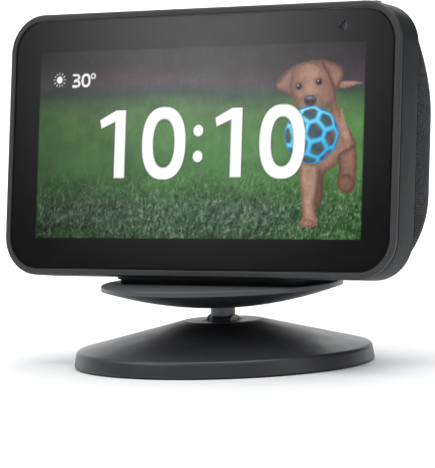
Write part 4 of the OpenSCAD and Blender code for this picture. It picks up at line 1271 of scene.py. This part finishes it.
class Face(FramedPart):
    """Front frame, cover glass, picture and the camera's window."""

    def build(self) -> None:
        """Builds the face and rides it on the display."""
        self._frame()
        self._glass()
        self._picture()

    def _frame(self) -> None:
        """Builds the frame and rides it on the display."""
        f = self.face
        profile = fillet(
            [
                (f.rim_w, f.glass_back, 0.0), (f.rim_w, 0.0, 0.3), (0.0, 0.0, 0.75), (0.0, f.rim_d, 0.25),
                (f.skirt_in, f.rim_d, 0.0), (f.skirt_in, f.skirt_end, 0.2), (f.ledge_in, f.skirt_end, 0.2),
                (f.ledge_in, f.glass_back, 0.0),
            ],
            closed=True,
        )
        frame = self.run("front_frame_looks", profile, CHARCOAL_FRAME)
        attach(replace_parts(frame, "front_frame"), Body.DISPLAY.value)

    def _glass(self) -> None:
        """Builds the glass and the camera's window in it, and rides them on the display."""
        f = self.face
        edge, back, front = f.rim_w + 0.05, f.glass_back, f.glass_front
        flat = edge + 0.8
        profile = fillet([(flat, back, 0), (edge, back, 0.12), (edge, front, 0.22), (flat, front, 0)], 5)
        glass = self.run("cover_glass_looks", profile, GlassPrint(), closed=False, caps=(True, True))
        hole = circle(f.lens_r, f.lens_x, f.lens_up)
        cut(glass, [prism(hole, -1.0, 3.0, True, self.seat, self.shelf.get(GlassPrint()))], 40.0)
        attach(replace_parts(glass, "cover_glass"), Body.DISPLAY.value)
        wide, narrow = f.lens_r - 0.03, f.lens_r - 0.1
        steps = ((wide, f.glass_back), (wide, f.glass_front + 0.05), (narrow, f.glass_front))
        rings = [at_level(circle(r, f.lens_x, f.lens_up), y, True) for r, y in steps]
        points, faces = loft(rings, caps=(True, True))
        window = mesh_object("camera_window", self.seat.place(points), faces, self.shelf.get(ClearWindow()))
        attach(window, Body.DISPLAY.value)

    def _picture(self) -> None:
        """Builds the lit picture, whose points carry its colours, and rides it on the display."""
        f = self.face
        paper = Wallpaper(f.picture_w, f.picture_h, f.picture_pitch)
        colours = paper.paint()
        points = np.stack(
            [paper.x.ravel(), np.full(paper.x.size, f.glass_front - 0.02), paper.y.ravel() + f.picture_up], -1
        )
        n = paper.columns
        faces = [
            (r * n + c, r * n + c + 1, (r + 1) * n + c + 1, (r + 1) * n + c)
            for r in range(paper.rows - 1)
            for c in range(n - 1)
        ]
        mesh = bpy.data.meshes.new("lit_picture")
        mesh.from_pydata(self.seat.place(points).tolist(), [], faces)
        store = mesh.color_attributes.new("picture", "FLOAT_COLOR", "POINT")
        store.data.foreach_set("color", colours.astype(np.float32).ravel())
        mesh.materials.append(self.shelf.get(LitPicture()))
        piece = bpy.data.objects.new("lit_picture", mesh)
        bpy.context.scene.collection.objects.link(piece)
        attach(piece, Body.DISPLAY.value)
        LOG.info("picture of %d by %d points", paper.columns, paper.rows)


@dataclass(frozen=True)
class HousingSizes:
    """Sizes of the band behind the frame, its openings and the foot under it."""

    band_start: float = 2.0
    band_end: float = 12.0
    wall: float = 2.2
    flange_w: float = 9.0
    flange_t: float = 2.0
    control_y: float = 7.1
    button_pitch: float = 18.0
    button_hole_r: float = 2.55
    slot_x: Point = (53.35, 60.65)
    slot_half: float = 0.95
    mic_x: Point = (-34.0, 34.0)
    mic_r: float = 0.6
    sole_w: float = 70.0
    sole_d: float = 33.0
    sole_y: float = 4.3
    sole_r: float = 5.0
    sole_top: float = 32.1


class Housing(FramedPart):
    """Smooth band behind the frame, with its openings for the buttons, the shutter and the microphones."""

    def __init__(self, face: FaceSizes, seat: Seat, shelf: FinishShelf, sizes: HousingSizes) -> None:
        """Keeps the sizes."""
        super().__init__(face, seat, shelf)
        self.sizes = sizes

    def sole_tool(self, finish: bpy.types.Material) -> bpy.types.Object:
        """Returns the tool that clears the space of the bottom cover.

        Args:
            finish: material of the faces that the cut leaves.

        Returns:
            The tool.
        """
        s = self.sizes
        ring = rounded_ring(s.sole_w + 0.2, s.sole_d + 0.2, s.sole_r + 0.1)
        ring[:, 1] += s.sole_y
        return prism(ring, 20.0, s.sole_top + 0.1, False, None, finish)

    def build(self) -> None:
        """Builds the band and rides it on the display."""
        s, f = self.sizes, self.face
        start, end, flange = s.band_start, s.band_end, s.band_end - s.flange_t
        corners = [
            (s.wall, start, 0.0), (0.0, start, 0.3), (0.0, end, 0.45), (s.flange_w, end, 0.2),
            (s.flange_w, flange, 0.2), (s.wall, flange, 0.0),
        ]
        profile = fillet(corners, closed=True)
        band = self.run("main_housing_looks", profile, CHARCOAL_BAND)
        inside = self.shelf.get(CHARCOAL_BAND)
        low, high = f.height - s.wall - 1, f.height + 4
        rings = [circle(s.button_hole_r, k * s.button_pitch, s.control_y) for k in (-1, 0, 1)]
        rings += [circle(s.mic_r, x, s.control_y, 24) for x in s.mic_x]
        slot = rounded_ring(s.slot_x[1] - s.slot_x[0], 2 * s.slot_half, 0.3, 4)
        slot[:, 0] += sum(s.slot_x) / 2
        slot[:, 1] += s.control_y
        tools = [prism(ring, low, high, False, self.seat, inside) for ring in rings + [slot]]
        tools.append(self.sole_tool(inside))
        cut(band, tools, 40.0)
        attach(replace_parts(band, "main_housing"), Body.DISPLAY.value)


@dataclass(frozen=True)
class PodSizes:
    """Sizes of the cloth-covered pod, as in the CAD part."""

    start: float = 12.0
    depth: float = 54.0
    mid: float = 40.0
    side_p: float = 1.98
    top_p: float = 1.32
    low_p: float = 2.0
    round_p: float = 0.66
    margin: float = 0.3
    tuck: float = 0.75  # how far the cloth's first edge turns in behind the band
    tuck_d: float = 0.3  # depth over which it turns in
    sole_soft: float = 1.2  # height over which the pod blends into its flat sole
    sole_height: float = 28.0
    rings: int = 110
    crowding: float = 1.5  # over one gathers the rings at the start and the tip
    steps: int = 44
    niche_w: float = 34.0
    niche_h: float = 12.0
    niche_up: float = 15.0
    niche_y: float = 41.0


class Pod(FramedPart):
    """Cloth-covered rear of the display."""

    def __init__(self, face: FaceSizes, seat: Seat, shelf: FinishShelf, sizes: PodSizes) -> None:
        """Keeps the sizes."""
        super().__init__(face, seat, shelf)
        self.sizes = sizes

    def _section(self, t: float) -> np.ndarray:
        """Returns the pod's section at share t of its depth, in the display's frame.

        Args:
            t: share of the depth, from zero at the band to one at the tip.

        Returns:
            The section's points.
        """
        s, f = self.sizes, self.face
        y = s.start + (s.depth - s.margin) * t
        margin = s.margin + s.tuck * math.exp(-(y - s.start) / s.tuck_d)
        fade = [max(0.0, 1 - t**p) ** (1 / p) for p in (s.side_p, s.top_p, s.low_p)]
        a = (f.width / 2 - margin) * fade[0]
        up, down = (f.height - margin - s.mid) * fade[1], (s.mid - margin) * fade[2]
        b = (up + down) / 2
        r0 = min(f.radius - margin, a, b)
        r = max(min(r0 + (min(a, b) - r0) * t**s.round_p, a - 0.02, b - 0.02), 0.01)
        flat = rounded_ring(2 * a, 2 * b, r, s.steps)
        low = self.seat.sole_level(y, s.sole_height)
        above = s.mid + (up - down) / 2 + flat[:, 1] - low
        flat[:, 1] = low + s.sole_soft * np.logaddexp(0.0, above / s.sole_soft * 3.0) / 3.0
        return at_level(flat, y, True)

    def build(self, band: Housing) -> None:
        """Builds the pod, opens it for the ports and the foot, and rides it on the display.

        Args:
            band: band, which knows the space of the bottom cover.
        """
        s = self.sizes
        shares = [math.sin(math.pi / 2 * (i / s.rings) ** s.crowding) for i in range(s.rings)]
        rings = [self._section(t) for t in shares]
        points, faces = loft(rings, caps=(True, False))
        n = len(rings[0])
        tip = rings[-1].mean(0)
        tip[1] = s.start + s.depth - s.margin
        points = np.concatenate([points, tip[None]])
        start = n * (len(rings) - 1)
        faces += [(start + k, start + (k + 1) % n, len(points) - 1) for k in range(n)]
        cloth = self.shelf.get(Cloth())
        pod = mesh_object("fabric_cover_looks", self.seat.place(points), faces, cloth, 50.0)
        square = np.array([(-1, -1), (1, -1), (1, 1), (-1, 1)])
        niche = square * [s.niche_w / 2, s.niche_h / 2] + [0, s.niche_up]
        cut(pod, [prism(niche, s.niche_y, 120.0, True, self.seat, cloth), band.sole_tool(cloth)], 50.0)
        self._own_coordinates(pod)
        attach(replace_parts(pod, "fabric_cover"), Body.DISPLAY.value)

    def _own_coordinates(self, pod: bpy.types.Object) -> None:
        """Stores each vertex's place and facing in the display's frame, for the weave.

        Args:
            pod: finished pod.
        """
        mesh = pod.data
        place = np.array([v.co for v in mesh.vertices]) / MM
        facing = np.array([v.normal for v in mesh.vertices])
        c, s = self.seat.turn
        place += [0.0, self.seat.front, -self.seat.bottom]
        for name, (x, y, z) in (("cloth", place.T), ("facing", facing.T)):
            upright_frame = np.stack([x, y * c - z * s, y * s + z * c], -1)
            store = mesh.attributes.new(name, "FLOAT_VECTOR", "POINT")
            store.data.foreach_set("vector", upright_frame.astype(np.float32).ravel())


# ---- Stand ----


@dataclass(frozen=True)
class StandSizes:
    """Sizes of the stand."""

    base_r: float = 49.0
    rim_r: float = 48.2
    rim_z: float = 5.3
    top_z: float = 14.1
    bore_r: float = 13.05
    turret_r: float = 13.0
    base_wall: float = 1.8
    plate_r: float = 39.5
    plate_z: float = 26.5
    plate_t: float = 1.7
    dish_h: float = 6.6
    dish_wall: float = 1.6
    neck_r: float = 4.0
    pad: tuple[float, float, float, float] = (39.0, 12.4, 2.8, 5.0)
    sole_gap: float = 0.02  # keeps the plate's face just under the display's sole


class Stand:
    """Plate, dish, pad and base cover of the stand. Its neck, turret and underside show as in the CAD part."""

    def __init__(self, sizes: StandSizes, shelf: FinishShelf) -> None:
        """Keeps the sizes and the finishes."""
        self.sizes, self.shelf = sizes, shelf

    def _turned(
        self, name: str, profile: list[Point], finish: Finish, body: Body, node: str
    ) -> None:
        """Makes a closed turned piece that stands for a CAD node.

        Args:
            name: name of the piece.
            profile: radius and height of each point.
            finish: finish of the piece.
            body: body that it rides on.
            node: CAD node that it stands for.
        """
        points, faces = revolve(profile + profile[:1])
        piece = mesh_object(name, upright(points), faces, self.shelf.get(finish), 40.0)
        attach(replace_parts(piece, node), body.value)

    def build(self) -> None:
        """Builds the stand's own pieces."""
        s = self.sizes
        slope = (s.top_z - s.rim_z) / (s.rim_r - s.turret_r)
        base = fillet(
            [
                (s.base_r - s.base_wall, 0.4, 0.0), (s.base_r, 0.4, 0.4), (s.rim_r, s.rim_z, 1.6),
                (s.turret_r + 0.9, s.top_z - 0.22, 0.8), (s.bore_r, s.top_z - 0.1, 0.15),
                (s.bore_r, s.top_z - s.base_wall, 0.0),
                (s.rim_r - s.base_wall, s.rim_z - s.base_wall + slope, 0.0),
            ],
            closed=True,
        )
        self._turned("base_shell_looks", base, SATIN_BASE, Body.BASE, "base_shell")
        rim, top = s.plate_z - s.plate_t, s.plate_z - s.sole_gap
        edge = [(s.plate_r - 0.05, rim, 0.12), (s.plate_r, rim + 0.1, 0.1), (s.plate_r, top, 0.55)]
        plate = fillet([(0.0, rim, 0.0), *edge, (0.0, top, 0.0)])
        self._turned("plate_top_looks", plate, SATIN_PLATE, Body.PLATE, "plate_top")
        inner = s.neck_r + 0.1
        radii = [inner + (s.plate_r - inner) * i / 24 for i in range(25)]
        under = [(r, rim - s.dish_h + s.dish_h * (r / s.plate_r) ** 2) for r in radii]
        under[-1] = (s.plate_r - 0.05, rim - 0.02)
        thin = s.dish_wall / (s.plate_r - inner)
        over = [(r - (r > inner) * thin * (r - inner), min(z + s.dish_wall, rim)) for r, z in reversed(under)]
        self._turned("plate_dish_looks", under + over, SATIN_BASE, Body.PLATE, "plate_dish")
        width, depth, height, radius = s.pad
        rings = []
        for inset, z in fillet([(0.0, 0.0, 0.0), (0.0, height, 0.6), (2.0, height, 0.0)]):
            flat = rounded_ring(width - 2 * inset, depth - 2 * inset, radius - inset, 12)
            rings.append(at_level(flat, s.plate_z + z))
        points, faces = loft(rings, caps=(True, True))
        pad = mesh_object("dock_pad_looks", upright(points), faces, self.shelf.get(BLACK_RUBBER), 40.0)
        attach(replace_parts(pad, "dock_pad"), Body.PLATE.value)


# ---- Studio ----


@dataclass(frozen=True)
class CameraSizes:
    """Camera: where it looks from, in degrees and millimetres, and how long its lens is."""

    azimuth: float = 32.14
    elevation: float = 3.6
    roll: float = -1.96
    distance: float = 900.0
    target: tuple[float, float, float] = (-1.11, 0.0, 41.95)
    focal: float = 2764.08
    long_side: float = 468.0
    sensor: float = 36.0


# Soft boxes: name, place, aim and size in metres, power in watts.
SOFT_BOXES = (
    ("key_box", (-1.1, -1.4, 1.5), (0, 0, 0.07), (1.2, 0.9), 16),
    ("side_box", (1.9, -0.2, 0.5), (0, 0, 0.07), (0.7, 0.9), 2.5),
    ("top_box", (0.1, 0.3, 1.7), (0, 0, 0.06), (1.6, 1.2), 16),
    ("backdrop_box", (-0.45, 0.8, 1.5), (-1.0, 1.6, 0.5), (1.4, 0.6), 22),
)


class Studio:
    """Pale floor, soft lights and the camera."""

    def __init__(self, camera: CameraSizes, shelf: FinishShelf) -> None:
        """Keeps the camera's sizes and the finishes."""
        self.camera, self.shelf = camera, shelf

    def build(self) -> None:
        """Builds the studio."""
        self._floor()
        self._lights()
        self._camera()

    def _floor(self) -> None:
        """Lays a pale sheet that curves up behind the object."""
        line = [(-2.6, 0.0), (1.2, 0.0)]
        bend = np.linspace(0.08, math.pi / 2, 18)
        line += [(1.2 + 0.9 * math.sin(a), 0.9 - 0.9 * math.cos(a)) for a in bend]
        line += [(2.1, 3.4)]
        turn = math.radians(self.camera.azimuth)
        c, s = math.cos(turn), math.sin(turn)
        rows = []
        for y, z in line:
            for x in (-4.0, 4.0):
                rows.append((x * c - y * s, x * s + y * c, z))
        faces = [(2 * i, 2 * i + 1, 2 * i + 3, 2 * i + 2) for i in range(len(line) - 1)]
        floor = mesh_object("studio_floor", np.array(rows), faces, self.shelf.get(STUDIO_FLOOR), 80.0)

    def _area(self, name: str, place: tuple, aim: tuple, size: Point, power: float) -> None:
        """Adds a soft box that faces a point.

        Args:
            name: name of the light.
            place: place of the light, in metres.
            aim: point that it faces.
            size: width and height, in metres.
            power: power, in watts.
        """
        data = bpy.data.lights.new(name, "AREA")
        data.shape = "RECTANGLE"
        data.size, data.size_y = size
        data.energy = power
        lamp = bpy.data.objects.new(name, data)
        lamp.location = place
        lamp.rotation_euler = (Vector(place) - Vector(aim)).to_track_quat("Z", "Y").to_euler()
        bpy.context.scene.collection.objects.link(lamp)

    def _lights(self) -> None:
        """Sets a soft world and the soft boxes."""
        world = bpy.data.worlds.new("soft_grey_room")
        world.use_nodes = True
        tree = world.node_tree
        tree.nodes.clear()
        up = add(tree, "ShaderNodeSeparateXYZ", {0: add(tree, "ShaderNodeTexCoord").outputs["Generated"]})
        sky = ramp(
            tree,
            maths(tree, "MULTIPLY_ADD", up.outputs[2], 0.5, 0.5),
            [(0.0, grey(0.35)), (0.46, grey(0.28)), (0.6, grey(0.34)), (0.75, grey(0.95)), (1.0, grey(1.2))],
        )
        back = add(tree, "ShaderNodeBackground", {"Color": sky, "Strength": 0.75})
        out = add(tree, "ShaderNodeOutputWorld")
        tree.links.new(back.outputs[0], out.inputs["Surface"])
        bpy.context.scene.world = world
        for box in SOFT_BOXES:
            self._area(*box)
        self._flag((0.27, 0.31, 0.26), (0.074, 0.0, 0.09))
        self._glow_card((-0.638, -0.989, 0.374), (0.0087, -0.0008, 0.1085))

    @staticmethod
    def _board(
        name: str, half: Point, look: bpy.types.Material, place: tuple, aim: tuple, unseen: tuple
    ) -> bpy.types.Object:
        """Makes a flat board that faces a point.

        Args:
            name: name of the board.
            half: half its width and height, in metres.
            look: material of the board.
            place: centre of the board.
            aim: point that it faces.
            unseen: kinds of ray that don't see it.

        Returns:
            The board.
        """
        wide, high = half
        corners = np.array([(-wide, -high, 0), (wide, -high, 0), (wide, high, 0), (-wide, high, 0)])
        board = mesh_object(name, corners, [(0, 1, 2, 3)], look)
        board.location = place
        board.rotation_euler = (Vector(aim) - Vector(place)).to_track_quat("Z", "Y").to_euler()
        for ray in unseen:
            setattr(board, f"visible_{ray}", False)
        return board

    def _flag(self, place: tuple, aim: tuple) -> None:
        """Stands a black cloth flag that keeps the room's light out of the side's reflections."""
        unseen = ("camera", "diffuse", "shadow", "transmission")
        flag = self._board("black_flag", (0.3, 0.2), self.shelf.get(FLAG_CLOTH), place, aim, unseen)

    def _glow_card(self, place: tuple, aim: tuple) -> None:
        """Hangs a softly fading card that the glass mirrors as a broad glow over its upper middle.

        Args:
            place: centre of the card, in metres.
            aim: point that it faces.
        """
        material, tree, out = new_material("Glowing silk card (backlit, fading to its rim)")
        spot = add(
            tree,
            "ShaderNodeVectorMath",
            {0: add(tree, "ShaderNodeTexCoord").outputs["Object"], 1: (1 / 0.105, 1 / 0.123, 0.0)},
            operation="MULTIPLY",
        )
        square = add(tree, "ShaderNodeVectorMath", {0: spot, 1: spot}, operation="DOT_PRODUCT")
        fall = maths(tree, "POWER", math.e, maths(tree, "MULTIPLY", square.outputs["Value"], -1.0))
        glow = add(tree, "ShaderNodeEmission", {"Strength": maths(tree, "MULTIPLY", fall, 2.4)})
        tree.links.new(glow.outputs[0], out.inputs["Surface"])
        card = self._board("glow_card", (0.33, 0.33), material, place, aim, ("camera", "shadow"))

    def _camera(self) -> None:
        """Places the camera and looks through it."""
        s = self.camera
        az, el, roll = (math.radians(v) for v in (s.azimuth, s.elevation, s.roll))
        back = Vector((math.sin(az) * math.cos(el), -math.cos(az) * math.cos(el), math.sin(el)))
        x = Vector((0, 0, 1)).cross(back).normalized()
        y = back.cross(x)
        x, y = math.cos(roll) * x + math.sin(roll) * y, -math.sin(roll) * x + math.cos(roll) * y
        turn = Matrix((x, y, back)).transposed().to_4x4()
        data = bpy.data.cameras.new("camera")
        data.sensor_width = s.sensor
        data.lens = s.focal / s.long_side * s.sensor
        data.clip_start, data.clip_end = 0.01, 20.0
        eye = bpy.data.objects.new("camera", data)
        eye.matrix_world = Matrix.Translation((Vector(s.target) + back * s.distance) * MM) @ turn
        bpy.context.scene.collection.objects.link(eye)
        bpy.context.scene.camera = eye
        bpy.context.scene.view_settings.view_transform = "Standard"


# ---- Whole object ----


class SmartDisplay:
    """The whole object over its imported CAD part."""

    def __init__(self, frame: dict) -> None:
        """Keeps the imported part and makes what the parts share.

        Args:
            frame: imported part, as loaded.
        """
        self.frame = frame
        self.shelf = FinishShelf()
        self.seat = Seat()
        self.face = FaceSizes()

    def _dress_cad_nodes(self) -> None:
        """Gives every CAD node the finish of its slot in the record."""
        slots = {s["node"]: s["material_slot"] for s in self.frame["record"]["subparts"]}
        for name, node in self.frame["nodes"].items():
            finish = SLOT_FINISH.get(slots.get(name, ""), CHARCOAL_SHELL)
            node.data.materials.clear()
            node.data.materials.append(self.shelf.get(finish))
            node.data.polygons.foreach_set("use_smooth", [True] * len(node.data.polygons))
            node.data.set_sharp_from_angle(angle=math.radians(30))

    def build(self) -> None:
        """Builds the looks of every part."""
        self._dress_cad_nodes()
        band = Housing(self.face, self.seat, self.shelf, HousingSizes())
        Face(self.face, self.seat, self.shelf).build()
        band.build()
        Pod(self.face, self.seat, self.shelf, PodSizes()).build(band)
        Stand(StandSizes(), self.shelf).build()
        Studio(CameraSizes(), self.shelf).build()


def main() -> None:
    """Builds the scene."""
    logging.basicConfig(level=logging.INFO)
    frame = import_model()
    SmartDisplay(frame).build()


if __name__ == "__main__":
    main()
